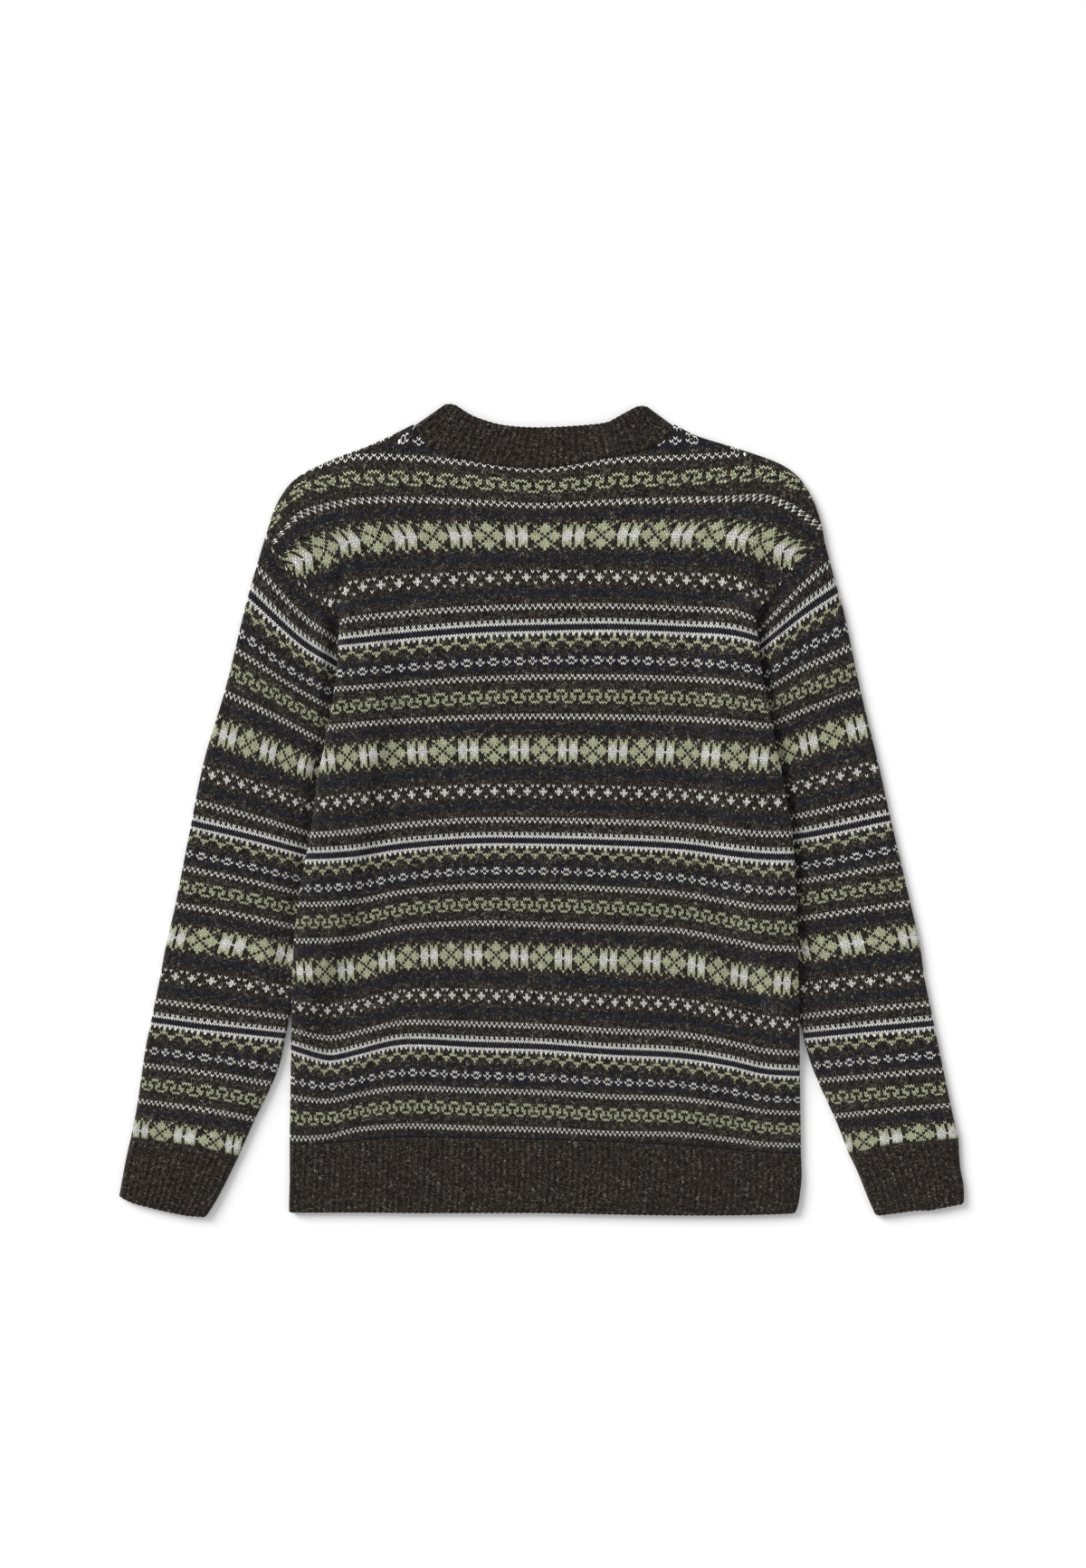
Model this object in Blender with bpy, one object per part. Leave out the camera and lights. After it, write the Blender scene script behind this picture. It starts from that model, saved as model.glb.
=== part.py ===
"""A fair isle jumper laid out flat on its front, with its back up.

Metres, +Z up. The jumper lies on the XY plane with its neck towards +Y, and the origin is under the
middle of its outline. The body is a back and a front panel, one on the other. Each sleeve is a flat
tube, set on at a dropped armhole and drawn down so that its inner edge lies under the body. The
neckband, the hem rib and the cuffs are flat rings of rib.
"""
import bmesh
import bpy
import numpy as np

MM = 0.001

# Driving dimensions, in millimetres.
CLOTH = 3.0             # a wall of stranded knit, with its floats behind it
PLY_GAP = 0.4           # air between two walls that lie on each other
SEAM_GAP = 0.3          # between two pieces that are joined edge to edge
RIM = 0.6               # thickness that a wall keeps on its rounded edge
ROUNDING = (0.0, 0.6, 2.0, 4.5)     # distances from a soft edge at which its rounding is modelled
RIB_PITCH = 5.2         # one rib and one furrow of 1x1 rib
RIB_RISE = 0.7          # a rib's height over its furrow
LIFT = 7.4              # how high the body rides where a sleeve lies under it
LIFT_RUN = 26.0         # width over which it comes down to the surface again
LIFT_MARGIN = 11.0       # flat width kept beyond the sleeve's edge, and above its end

PAIR = 2 * CLOTH + PLY_GAP          # two walls, one on the other
MIDDLE = PAIR / 2                   # height of the parting between them


def table(columns, *rows):
    """A small table: the named columns as arrays, from a row for each section."""
    return dict(zip(columns.split(), np.array(rows, float).T))


# The body's side edges, from the hem rib up to the armholes.
SIDES = table(
    "left left_y right right_y",
    (-222.5, -295.5, 229.0, -303.5),
    (-221.0, -203.5, 227.5, -203.5),
    (-219.0, -131.5, 226.0, -131.5),
    (-214.0, -75.5, 224.5, -75.5),
    (-203.5, -19.5, 220.5, -19.5),
    (-197.0, 28.5, 212.5, 28.5),
    (-187.5, 76.5, 203.0, 76.5),
    (-180.5, 124.5, 194.0, 124.5),
    (-178.0, 170.0, 188.5, 172.5),
)
# The armhole seams, from the shoulder down to where the body starts to lie on the sleeve.
ARMHOLES = table(
    "left left_y right right_y",
    (-243.0, 244.5, 250.0, 236.5),
    (-232.0, 227.0, 238.0, 228.5),
    (-220.0, 210.5, 225.0, 219.0),
    (-206.0, 197.5, 212.5, 204.5),
    (-192.5, 184.5, 200.5, 188.5),
    (-178.0, 170.0, 188.5, 172.5),
)
# The same seams further on, under the body.
UNDERARMS = table(
    "left left_y right right_y",
    (-178.0, 170.0, 188.5, 172.5),
    (-169.0, 159.5, 179.5, 163.0),
    (-160.0, 148.5, 170.5, 153.0),
)
# The shoulders, from the sleeve to the neck.
SHOULDERS = table(
    "left left_y right right_y",
    (-243.0, 244.5, 250.0, 236.5),
    (-236.5, 264.5, 247.0, 252.5),
    (-230.0, 277.5, 241.0, 271.0),
    (-221.0, 289.5, 234.0, 284.5),
    (-207.0, 299.5, 224.5, 296.5),
    (-181.0, 311.5, 207.5, 307.5),
    (-155.5, 321.0, 172.0, 320.0),
    (-133.0, 331.0, 138.0, 330.5),
    (-112.5, 341.5, 117.0, 341.0),
)
# The back of the neck, left to right: the seam, and the free top edge of the neckband.
NECK_SEAM = table(
    "x y",
    (-112.5, 341.5),
    (-108.5, 332.0),
    (-100.5, 322.0),
    (-83.0, 314.0),
    (-61.0, 308.0),
    (-29.0, 303.0),
    (1.0, 302.0),
    (33.0, 306.0),
    (61.0, 312.0),
    (85.0, 316.5),
    (103.0, 323.0),
    (113.0, 332.0),
    (117.0, 341.0),
)
NECK_EDGE = table(
    "x y",
    (-89.0, 356.0),
    (-85.0, 358.2),
    (-80.5, 358.5),
    (-75.5, 357.2),
    (-63.5, 349.5),
    (-51.0, 344.5),
    (-36.5, 340.5),
    (-19.0, 338.5),
    (1.0, 338.0),
    (32.5, 339.5),
    (55.5, 342.0),
    (64.0, 345.5),
    (79.5, 354.0),
    (85.5, 356.5),
    (92.0, 356.5),
    (97.5, 353.5),
)
FRONT_NECK_DROP = 96.0  # from the side of the neck down to the seam at the middle of the front
NECKBAND_DEPTH = 36.0
# The sleeves' outer edges, from cuff to shoulder, and their inner edges, from cuff to underarm.
SLEEVE_OUTER = table(
    "left left_y right right_y",
    (-362.5, -288.0, 368.0, -289.5),
    (-357.0, -259.5, 361.0, -259.5),
    (-350.0, -211.5, 351.0, -211.5),
    (-343.5, -179.5, 344.5, -179.5),
    (-337.0, -147.5, 338.0, -147.5),
    (-331.0, -115.5, 333.5, -115.5),
    (-323.5, -83.5, 326.0, -83.5),
    (-311.0, -19.5, 311.0, -19.5),
    (-298.0, 44.5, 296.5, 44.5),
    (-279.0, 108.5, 281.0, 108.5),
    (-263.5, 172.5, 267.5, 172.5),
    (-255.0, 204.5, 258.5, 204.5),
    (-243.0, 244.5, 250.0, 236.5),
)
SLEEVE_INNER = table(
    "left left_y right right_y",
    (-267.5, -305.0, 271.0, -302.5),
    (-254.5, -275.5, 260.5, -275.5),
    (-232.5, -227.5, 238.0, -224.0),
    (-219.5, -171.5, 225.0, -175.0),
    (-189.0, -87.5, 197.0, -87.5),
    (-166.0, 36.5, 176.0, 36.5),
    (-160.0, 148.5, 170.5, 153.0),
)
# The seams above the ribs, left to right. They follow the courses of the knit.
HEM_SEAM = table(
    "x y",
    (-222.5, -295.5),
    (-185.0, -293.5),
    (-130.0, -289.0),
    (-65.0, -289.0),
    (0.0, -290.5),
    (60.0, -292.5),
    (120.0, -295.5),
    (180.0, -300.5),
    (229.0, -303.5),
)
CUFF_SEAMS = {
    "left": table(
        "x y",
        (-362.5, -288.0),
        (-328.0, -293.0),
        (-308.0, -295.5),
        (-290.0, -299.5),
        (-267.5, -305.0),
    ),
    "right": table(
        "x y",
        (271.0, -302.5),
        (284.0, -300.5),
        (297.0, -297.0),
        (312.0, -294.0),
        (334.0, -292.0),
        (368.0, -289.5),
    ),
}
# The sides of the ribs, from the free end up to the seam.
HEM_SIDES = table(
    "left left_y right right_y",
    (-221.5, -353.5, 223.5, -354.0),
    (-222.0, -343.0, 226.5, -346.0),
    (-222.5, -323.5, 229.5, -326.0),
    (-222.5, -295.5, 229.0, -303.5),
)
CUFF_SIDES = {
    "left": table(
        "left left_y right right_y",
        (-373.0, -340.5, -295.0, -356.5),
        (-370.5, -326.5, -286.0, -342.0),
        (-367.0, -307.5, -277.0, -324.5),
        (-362.5, -288.0, -267.5, -305.0),
    ),
    "right": table(
        "left left_y right right_y",
        (294.0, -355.5, 373.0, -345.0),
        (288.0, -342.0, 372.5, -330.5),
        (279.5, -320.5, 369.5, -314.0),
        (271.0, -302.5, 368.0, -289.5),
    ),
}
# The free ends of the ribs, left to right.
HEM_END = table(
    "x y",
    (-221.5, -353.5),
    (-217.5, -354.5),
    (-160.0, -354.5),
    (-110.0, -355.0),
    (-50.0, -355.0),
    (0.0, -355.0),
    (50.0, -356.0),
    (110.0, -357.0),
    (170.0, -357.0),
    (219.0, -355.5),
    (223.5, -354.0),
)
CUFF_ENDS = {
    "left": table(
        "x y",
        (-373.0, -340.5),
        (-360.0, -346.5),
        (-343.0, -351.0),
        (-326.0, -355.0),
        (-312.0, -357.5),
        (-299.5, -358.5),
        (-296.5, -358.2),
        (-295.0, -356.5),
    ),
    "right": table(
        "x y",
        (294.0, -355.5),
        (296.0, -357.0),
        (307.0, -356.0),
        (330.0, -353.0),
        (343.5, -352.5),
        (364.0, -348.5),
        (371.0, -347.0),
        (373.0, -345.0),
    ),
}

# Colours of the yarns, as linear red, green and blue.
GROUND = (0.030, 0.025, 0.021)      # dark brown-grey melange, all ribs and the ground of the pattern
GREENISH = (0.075, 0.080, 0.058)    # the patterned knit, seen as one tone


# ---- curves and grids ------------------------------------------------------------------------

CURVE_STEPS = 24        # points worked out between two rows of a table


def smooth_line(x, y):
    """Points of a smooth curve through a table's rows, and each one's share of the length."""
    knots = np.column_stack([x, y])
    knots = np.vstack([2 * knots[0] - knots[1], knots, 2 * knots[-1] - knots[-2]])
    points = [knots[1]]
    for before, start, end, after in zip(knots[:-3], knots[1:-2], knots[2:-1], knots[3:]):
        for k in range(1, CURVE_STEPS + 1):
            t = k / CURVE_STEPS
            points.append(0.5 * (2 * start + (end - before) * t
                                 + (2 * before - 5 * start + 4 * end - after) * t**2
                                 + (3 * start - before - 3 * end + after) * t**3))
    points = np.array(points)
    run = np.concatenate([[0], np.cumsum(np.linalg.norm(np.diff(points, axis=0), axis=1))])
    return points, run / run[-1]


def side_line(rows, side):
    """The smooth curve of one side of a table that has a left and a right one."""
    return smooth_line(rows[side], rows[side + "_y"])


def along(line, shares):
    """Points at shares 0..1 of a line's length."""
    points, run = line
    return np.column_stack([np.interp(shares, run, points[:, k]) for k in (0, 1)])


def chain(shares, breaks, lines):
    """Points along an edge made of several lines, which meet at the shares in breaks."""
    points = np.empty((len(shares), 2))
    for low, high, line in zip(breaks, breaks[1:], lines):
        here = (shares >= low) & (shares <= high)
        points[here] = along(line, (shares[here] - low) / (high - low))
    return points


def smoothstep(x):
    """0 below 0, 1 above 1, and a soft rise between."""
    x = np.clip(x, 0, 1)
    return x * x * (3 - 2 * x)


def patch(left, right, bottom, top, across, up, reach=None):
    """A grid of points filling four edges: rows go up, columns go across.

    The bends of the two sides die out across the whole grid, or within the share reach of it.
    """
    t = up[:, None, None]
    grid = (1 - t) * bottom[None] + t * top[None]
    for side, k, near in ((left, 0, across), (right, -1, 1 - across)):
        bend = side[:, None] - (1 - t) * bottom[k] - t * top[k]
        fade = 1 - near if reach is None else 1 - smoothstep(near / reach)
        grid = grid + fade[None, :, None] * bend
    return grid


def resample(grid, shares, wanted):
    """A grid's points at other shares across, on the straight lines between its columns."""
    return np.dstack([[np.interp(wanted, shares, row) for row in grid[..., k]] for k in (0, 1)])


def round_over(distance):
    """Share of a wall's fullness at a distance from its soft edge: 0 on the edge, 1 inside."""
    return np.sqrt(1 - (1 - np.clip(distance / ROUNDING[-1], 0, 1)) ** 2)


def soft_ends(width, inner):
    """Shares across a width: the rounding steps at both ends, and the inner shares between."""
    steps = np.array(ROUNDING) / width
    return np.concatenate([steps, inner, 1 - steps[::-1]])


# ---- solids ----------------------------------------------------------------------------------

def solid(name, points, faces, finish):
    """One closed object from points in millimetres and faces of point numbers."""
    mesh = bpy.data.meshes.new(name)
    form = bmesh.new()
    corners = [form.verts.new(tuple(p * MM)) for p in points]
    for face in faces:
        form.faces.new([corners[k] for k in face])
    bmesh.ops.recalc_face_normals(form, faces=form.faces)
    form.to_mesh(mesh)
    form.free()
    mesh.shade_smooth()
    mesh.set_sharp_from_angle(angle=np.radians(50))
    mesh.materials.append(finish)
    piece = bpy.data.objects.new(name, mesh)
    bpy.context.collection.objects.link(piece)
    return piece


def strip(first, second):
    """Triangles between two equal runs of point numbers."""
    faces = []
    for a, b, c, d in zip(first, first[1:], second, second[1:]):
        faces += [(a, b, d), (a, d, c)]
    return faces


def sheet_faces(numbers):
    """Triangles over a grid of point numbers."""
    return [face for low, high in zip(numbers, numbers[1:]) for face in strip(low, high)]


def wall(name, grid, low, high, finish):
    """A wall of cloth over one grid, between its lower and its upper heights."""
    rows, columns = low.shape
    numbers = np.arange(rows * columns).reshape(rows, columns)
    under, over = numbers, numbers + rows * columns
    points = np.concatenate([np.dstack([grid, low]).reshape(-1, 3), np.dstack([grid, high]).reshape(-1, 3)])
    faces = sheet_faces(under.tolist()) + sheet_faces(over.tolist())
    for edge in (np.s_[0, :], np.s_[-1, :], np.s_[:, 0], np.s_[:, -1]):
        faces += strip(under[edge].tolist(), over[edge].tolist())
    return solid(name, points, faces, finish)


def flat_tube(name, upper, lower, inner_upper, inner_lower, finish):
    """A tube pressed flat, open at both ends.

    Each argument is a grid of points, its rows along the tube and its columns from one fold to the
    other. upper and lower share their fold points, and so do the two inner sheets.
    """
    points, sheets = [], []
    for top, bottom in ((upper, lower), (inner_upper, inner_lower)):
        over = np.arange(top[..., 0].size).reshape(top.shape[:2]) + len(points)
        points.extend(top.reshape(-1, 3))
        under = np.empty(bottom.shape[:2], int)
        under[:, 0], under[:, -1] = over[:, 0], over[:, -1]
        middle = bottom[:, 1:-1]
        under[:, 1:-1] = np.arange(middle[..., 0].size).reshape(middle.shape[:2]) + len(points)
        points.extend(middle.reshape(-1, 3))
        sheets.append((over, under))
    faces = [face for pair in sheets for numbers in pair for face in sheet_faces(numbers.tolist())]
    for outer, inner in zip(*sheets):
        for end in (0, -1):
            faces += strip(outer[end].tolist(), inner[end].tolist())
    return solid(name, points, faces, finish)


def raised(grid, heights):
    """Points from a flat grid and the heights over it."""
    return np.dstack([grid, np.broadcast_to(heights, grid.shape[:2])])


def material(name, colour, roughness):
    """A plain woollen finish."""
    finish = bpy.data.materials.new(name)
    finish.use_nodes = True
    shader = finish.node_tree.nodes["Principled BSDF"]
    shader.inputs["Base Color"].default_value = (*colour, 1)
    shader.inputs["Roughness"].default_value = roughness
    shader.inputs["Metallic"].default_value = 0.0
    return finish


# ---- body ------------------------------------------------------------------------------------

BODY_WIDTH = 450.0
BODY_LENGTH = 565.0     # along a side edge and its armhole
ARMHOLE_START = 0.826   # share of that length that lies below the armhole
ARMHOLE_SHARES = np.array([0.15, 0.3, 0.5, 0.75])      # rows of the body along the armhole
NEAR_ARMHOLE = 0.965    # one more row, just below it
SIDE_ROWS = 15
NECK_START = 0.255      # shares of the body's top edge at which the neck curve starts and ends
NECK_STOP = 0.742
SIDE_COLUMNS = np.array([12, 22, 32, 43, 55])          # distances from the side, over the sleeve
SHOULDER_COLUMNS = 3
NECK_COLUMNS = 10
SIDE_REACH = 0.3        # share across the body within which the bends of its side die out


def body_shares():
    """Shares across and up the body at which both of its panels have points."""
    beside = SIDE_COLUMNS / BODY_WIDTH
    left = np.linspace(beside[-1], NECK_START, SHOULDER_COLUMNS + 1)[1:]
    right = np.linspace(NECK_STOP, 1 - beside[-1], SHOULDER_COLUMNS + 1)[:-1]
    neck = np.linspace(NECK_START, NECK_STOP, NECK_COLUMNS + 2)[1:-1]
    across = soft_ends(BODY_WIDTH, np.concatenate([beside, left, neck, right, 1 - beside[::-1]]))
    side = np.linspace(0, ARMHOLE_START, SIDE_ROWS)
    armhole = ARMHOLE_START + (1 - ARMHOLE_START) * ARMHOLE_SHARES
    top = 1 - np.array(ROUNDING[::-1]) / BODY_LENGTH
    return across, np.unique(np.concatenate([side, [NEAR_ARMHOLE * ARMHOLE_START], armhole, top]))


def body_grid(neck_line, across, up):
    """The body's grid, with the given line as its neck."""
    lines = {}
    for side in ("left", "right"):
        armhole, run = side_line(ARMHOLES, side)
        upwards = (armhole[::-1], 1 - run[::-1])
        lines[side] = chain(up, (0, ARMHOLE_START, 1), (side_line(SIDES, side), upwards))
    shoulder, run = side_line(SHOULDERS, "right")
    outwards = (shoulder[::-1], 1 - run[::-1])
    top = chain(across, (0, NECK_START, NECK_STOP, 1), (side_line(SHOULDERS, "left"), neck_line, outwards))
    bottom = along(smooth_line(HEM_SEAM["x"], HEM_SEAM["y"]), across) + (0, SEAM_GAP / 2)
    lines["left"][0], lines["right"][0] = bottom[0], bottom[-1]
    return patch(lines["left"], lines["right"], bottom, top, across, up, SIDE_REACH)


LIFT_START = -247.0     # heights on the body at which it starts to rise on the sleeve, is up,
LIFT_UP = -163.0        # starts to come down at the armhole, and is down again
LIFT_FULL = 178.0
LIFT_STOP = 210.0


def lift(grid):
    """How high the body rides over the sleeves that lie under its two sides."""
    x, y = grid[..., 0], grid[..., 1]
    height = smoothstep((y - LIFT_START) / (LIFT_UP - LIFT_START)) * smoothstep(
        (LIFT_STOP - y) / (LIFT_STOP - LIFT_FULL))
    total = np.zeros(x.shape)
    for side, inwards in (("left", 1), ("right", -1)):
        edge = np.vstack([side_line(SIDES, side)[0], side_line(ARMHOLES, side)[0][::-1]])
        under = np.vstack([side_line(SLEEVE_INNER, side)[0], side_line(UNDERARMS, side)[0][::-1]])
        edge_x = np.interp(y, edge[:, 1], edge[:, 0])
        tucked = np.zeros(x.shape)
        for level in (y, y - LIFT_MARGIN):
            under_x = np.interp(level, under[:, 1], under[:, 0])
            level_x = np.interp(level, edge[:, 1], edge[:, 0])
            tucked = np.maximum(tucked, (under_x - level_x) * inwards * (level < under[-1, 1]))
        inside = (x - edge_x) * inwards - tucked - LIFT_MARGIN
        total += height * (1 - smoothstep(inside / LIFT_RUN))
    return LIFT * total


def body_edges(across, up):
    """Share of the full wall, 0..1, near the body's soft edges: its sides and its shoulders."""
    columns = np.minimum(across, 1 - across) * BODY_WIDTH
    sides = np.where(up[:, None] <= ARMHOLE_START, round_over(columns)[None, :], 1)
    on_neck = (across > NECK_START) & (across < NECK_STOP)
    shoulders = np.where(~on_neck[None, :], round_over((1 - up) * BODY_LENGTH)[:, None], 1)
    return np.minimum(sides, shoulders)


FRONT_NECK_POWER = 2.4  # how round the front neckline is: 2 is a parabola, more is squarer
FRONT_NECK_KNOTS = 13


def front_neck(drop, start, end):
    """A round front neckline between two points, as a smooth line."""
    across = np.linspace(-1, 1, FRONT_NECK_KNOTS)
    x = np.interp(across, (-1, 1), (start[0], end[0]))
    level = np.interp(across, (-1, 1), (start[1], end[1]))
    return smooth_line(x, level - drop * (1 - np.abs(across) ** FRONT_NECK_POWER))


def build_body(finish):
    across, up = body_shares()
    back_neck = smooth_line(NECK_SEAM["x"], NECK_SEAM["y"])
    front_line = front_neck(FRONT_NECK_DROP, back_neck[0][0], back_neck[0][-1])
    necks = {}
    for name, neck_line in (("back", back_neck), ("front", front_line)):
        grid = body_grid(neck_line, across, up)
        base = lift(grid)
        full = RIM + (CLOTH - RIM) * body_edges(across, up)
        if name == "back":
            low = base + CLOTH + PLY_GAP
            wall(name, grid, low, low + full, finish)
        else:
            high = base + CLOTH
            wall(name, grid, high - full, high, finish)
        on_neck = (across >= NECK_START) & (across <= NECK_STOP)
        necks[name] = grid[-1, on_neck]
    return necks


# ---- flat tubes ------------------------------------------------------------------------------

FREE_END = 0.8          # share of its thickness that a rib keeps at its free end


def fold_columns(shares, width):
    """Share of a flat tube's thickness at each share across, rounded off towards its folds."""
    return round_over(np.minimum(shares, 1 - shares) * width)


def inside_shares(shares, width):
    """The same run of shares, a wall's thickness in from both folds."""
    inset = (CLOTH + RIM) / width
    return inset + (1 - 2 * inset) * shares


def tube_sheets(halves, shares, up, inner_up, width, thickness, rise):
    """The four sheets of a flat tube that lies on the surface.

    halves are two functions that give the upper and the lower half's grid at shares across and up,
    and shares are the two halves' shares across. thickness is the tube's, as a share for each row,
    and rise is added to the upper half's columns.
    """
    outer, inner = [], []
    for grid_at, across, sign in zip(halves, shares, (1, -1)):
        height = MIDDLE * fold_columns(across, width)[None, :] + (rise if sign > 0 else 0)
        outer.append(raised(grid_at(across, up), MIDDLE + sign * thickness[:, None] * height))
        parting = np.full(len(across), PLY_GAP / 2)
        parting[[0, -1]] = 0
        inside = resample(grid_at(across, inner_up), across, inside_shares(across, width))
        inner.append(raised(inside, MIDDLE + sign * parting))
    return outer + inner


# ---- sleeves ---------------------------------------------------------------------------------

SLEEVE_WIDTH = 130.0
SLEEVE_ROWS = 17
UNDERARM_START = 0.775  # share of the sleeve's top edge that is sewn where it shows
UNDERARM_MIDDLE = 0.88
SEAM_REACH = 0.1        # share of the sleeve's length over which it draws back to leave the seam gap
SEAM_NORMAL = np.array([0.7, -0.7])     # from the body to the right sleeve, across the armhole seam


def sleeve_grid(side):
    """A function that gives the sleeve's grid at shares across, from its outer edge, and up."""
    armhole, underarm = side_line(ARMHOLES, side), side_line(UNDERARMS, side)
    outer, inner = side_line(SLEEVE_OUTER, side), side_line(SLEEVE_INNER, side)
    seam = smooth_line(CUFF_SEAMS[side]["x"], CUFF_SEAMS[side]["y"])
    away = SEAM_GAP * SEAM_NORMAL * (-1 if side == "left" else 1, 1)

    def grid_at(across, up):
        bottom = along(seam, across if side == "left" else 1 - across) + (0, SEAM_GAP / 2)
        top = chain(across, (0, UNDERARM_START, 1), (armhole, underarm))
        edges = along(outer, up), along(inner, up)
        edges[0][0], edges[1][0] = bottom[0], bottom[-1]
        grid = patch(*edges, bottom, top, across, up)
        return grid + smoothstep((up - 1 + SEAM_REACH) / SEAM_REACH)[:, None, None] * away

    return grid_at


def build_sleeve(side, finish):
    seam = (1 - ARMHOLE_SHARES[::-1]) * UNDERARM_START
    across = soft_ends(SLEEVE_WIDTH, np.concatenate([seam, [UNDERARM_START, UNDERARM_MIDDLE]]))
    up = np.linspace(0, 1, SLEEVE_ROWS)
    full = np.ones(len(up))
    sheets = tube_sheets([sleeve_grid(side)] * 2, [across] * 2, up, up[::2], SLEEVE_WIDTH, full, 0)
    flat_tube("sleeve_" + side, *sheets, finish)


# ---- ribs ------------------------------------------------------------------------------------

RIB_ROWS = np.array([0.0, 0.05, 0.5, 1.0])      # from the free end to the seam
PLAIN_COLUMNS = 6       # columns between the folds of a half that has no ribs


def rib_shares(width):
    """Shares across a ribbed half, a column on each rib and in each furrow, and each one's rise."""
    count = 2 * round((width - 2 * ROUNDING[-1]) / RIB_PITCH) + 1
    start = ROUNDING[-1] / width
    across = soft_ends(width, np.linspace(start, 1 - start, count)[1:-1])
    rise = np.zeros(len(across))
    rise[len(ROUNDING):-len(ROUNDING):2] = RIB_RISE
    return across, rise


def build_rib(name, halves, width, plain_columns, finish):
    """A flat ring of rib: its ribs stand up on the upper half, and the lower half lies flat."""
    across, rise = rib_shares(width)
    plain = soft_ends(width, np.linspace(0, 1, plain_columns + 2)[1:-1])
    thickness = np.where(RIB_ROWS > 0, 1, FREE_END)
    ends = RIB_ROWS[[0, -1]]
    sheets = tube_sheets(halves, (across, plain), RIB_ROWS, ends, width, thickness, rise)
    flat_tube(name, *sheets, finish)


def build_ring(name, sides, end, seam, width, plain_columns, finish):
    """A ring of rib between the two sides, the free end and the seam of its outline."""
    end, seam = smooth_line(end["x"], end["y"]), smooth_line(seam["x"], seam["y"])
    left, right = side_line(sides, "left"), side_line(sides, "right")

    def grid_at(across, up):
        top = along(seam, across) - (0, SEAM_GAP / 2)
        edges = along(left, up), along(right, up)
        edges[0][-1], edges[1][-1] = top[0], top[-1]
        return patch(*edges, along(end, across), top, across, up)

    build_rib(name, [grid_at] * 2, width, plain_columns, finish)


CUFF_WIDTH = 88.0       # halfway along it, laid flat
NECK_WIDTH = 204.0      # the back half of the neckband, along its free edge


def build_neckband(necks, finish):
    """The neckband: its back half stands on the back's neck curve, its front half on the front's."""
    back_edge = smooth_line(NECK_EDGE["x"], NECK_EDGE["y"])
    start, end = back_edge[0][0], back_edge[0][-1]
    front_edge = front_neck(FRONT_NECK_DROP - NECKBAND_DEPTH + start[1] - NECK_SEAM["y"][0], start, end)
    first = SEAM_GAP / NECKBAND_DEPTH

    def half(seam_points, edge):
        run = np.concatenate([[0], np.cumsum(np.linalg.norm(np.diff(seam_points, axis=0), axis=1))])
        seam = seam_points, run / run[-1]

        def grid_at(across, up):
            share = ((1 - first) * up)[:, None, None]
            return (1 - share) * along(edge, across)[None] + share * along(seam, across)[None]

        return grid_at

    halves = [half(necks["back"], back_edge), half(necks["front"], front_edge)]
    build_rib("neckband", halves, NECK_WIDTH, 2 * PLAIN_COLUMNS, finish)


# ---- the jumper ------------------------------------------------------------------------------

for old in list(bpy.data.objects):
    bpy.data.objects.remove(old)

KNIT_ROUGHNESS = 0.95
patterned = material("patterned_knit", GREENISH, KNIT_ROUGHNESS)
ribbed = material("ribbed_knit", GROUND, KNIT_ROUGHNESS)
neck_curves = build_body(patterned)
build_sleeve("left", patterned)
build_sleeve("right", patterned)
build_neckband(neck_curves, ribbed)
build_ring("hem_rib", HEM_SIDES, HEM_END, HEM_SEAM, BODY_WIDTH, 3 * PLAIN_COLUMNS, ribbed)
for end in ("left", "right"):
    seam = CUFF_SEAMS[end]
    build_ring("cuff_" + end, CUFF_SIDES[end], CUFF_ENDS[end], seam, CUFF_WIDTH, PLAIN_COLUMNS, ribbed)
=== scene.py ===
"""A fair isle jumper laid out flat on its front, with its back up.

The knitted pieces are modelled at their real size on the frame of the built part: a back and a front,
two sleeves, and rings of rib at the neck, the hem and the cuffs. Sizes are in millimetres and are
turned into metres where a mesh is made.
"""

import bmesh
import bpy
import numpy as np
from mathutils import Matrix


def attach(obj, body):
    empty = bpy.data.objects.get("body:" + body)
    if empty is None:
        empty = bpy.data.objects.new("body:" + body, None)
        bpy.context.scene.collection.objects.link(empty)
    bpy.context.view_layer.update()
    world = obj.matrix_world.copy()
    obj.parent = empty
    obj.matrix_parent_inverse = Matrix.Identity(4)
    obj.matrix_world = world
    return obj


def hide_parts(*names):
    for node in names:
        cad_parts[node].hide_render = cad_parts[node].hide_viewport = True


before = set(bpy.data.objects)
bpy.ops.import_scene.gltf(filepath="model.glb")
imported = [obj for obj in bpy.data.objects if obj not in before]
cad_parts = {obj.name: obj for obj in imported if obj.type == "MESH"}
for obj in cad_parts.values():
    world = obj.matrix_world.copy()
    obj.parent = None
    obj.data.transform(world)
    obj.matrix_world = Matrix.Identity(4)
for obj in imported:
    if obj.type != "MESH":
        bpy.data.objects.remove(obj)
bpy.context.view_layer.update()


# ---- The table and the light -------------------------------------------------------------------
# A white table top under the jumper, white light from all round, and one wide, distant lamp low on
# the upper left that gives the knit its relief. The camera hangs straight above.

MM = 0.001              # a millimetre in metres
TABLE_SIZE = 12.0       # in metres, as is the camera's height
TABLE_WHITE = (0.93, 0.93, 0.93, 1)
TABLE_ROUGHNESS = 0.8
TABLE_GAP = 0.2         # the table's top lies this far below the jumper
ROOM_LIGHT = 0.63
LAMP_FROM = 52.0        # degrees to the left of the way from the hem to the neck
LAMP_HEIGHT = 30.0      # degrees above the table
LAMP_SPREAD = 36.0      # degrees across, as seen from the table
LAMP_POWER = 3.2

VIEW_CENTRE = (1.2, 23.4)       # the place on the jumper that the camera looks down on
VIEW_LENGTH = 1386.4    # how much of the table the view's longer side holds
CAMERA_HEIGHT = 3.0
FILM = 36.0             # millimetres, along its longer side


def principled(material):
    """The material's shader, with its nodes switched on."""
    material.use_nodes = True
    return material.node_tree.nodes["Principled BSDF"]


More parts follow.
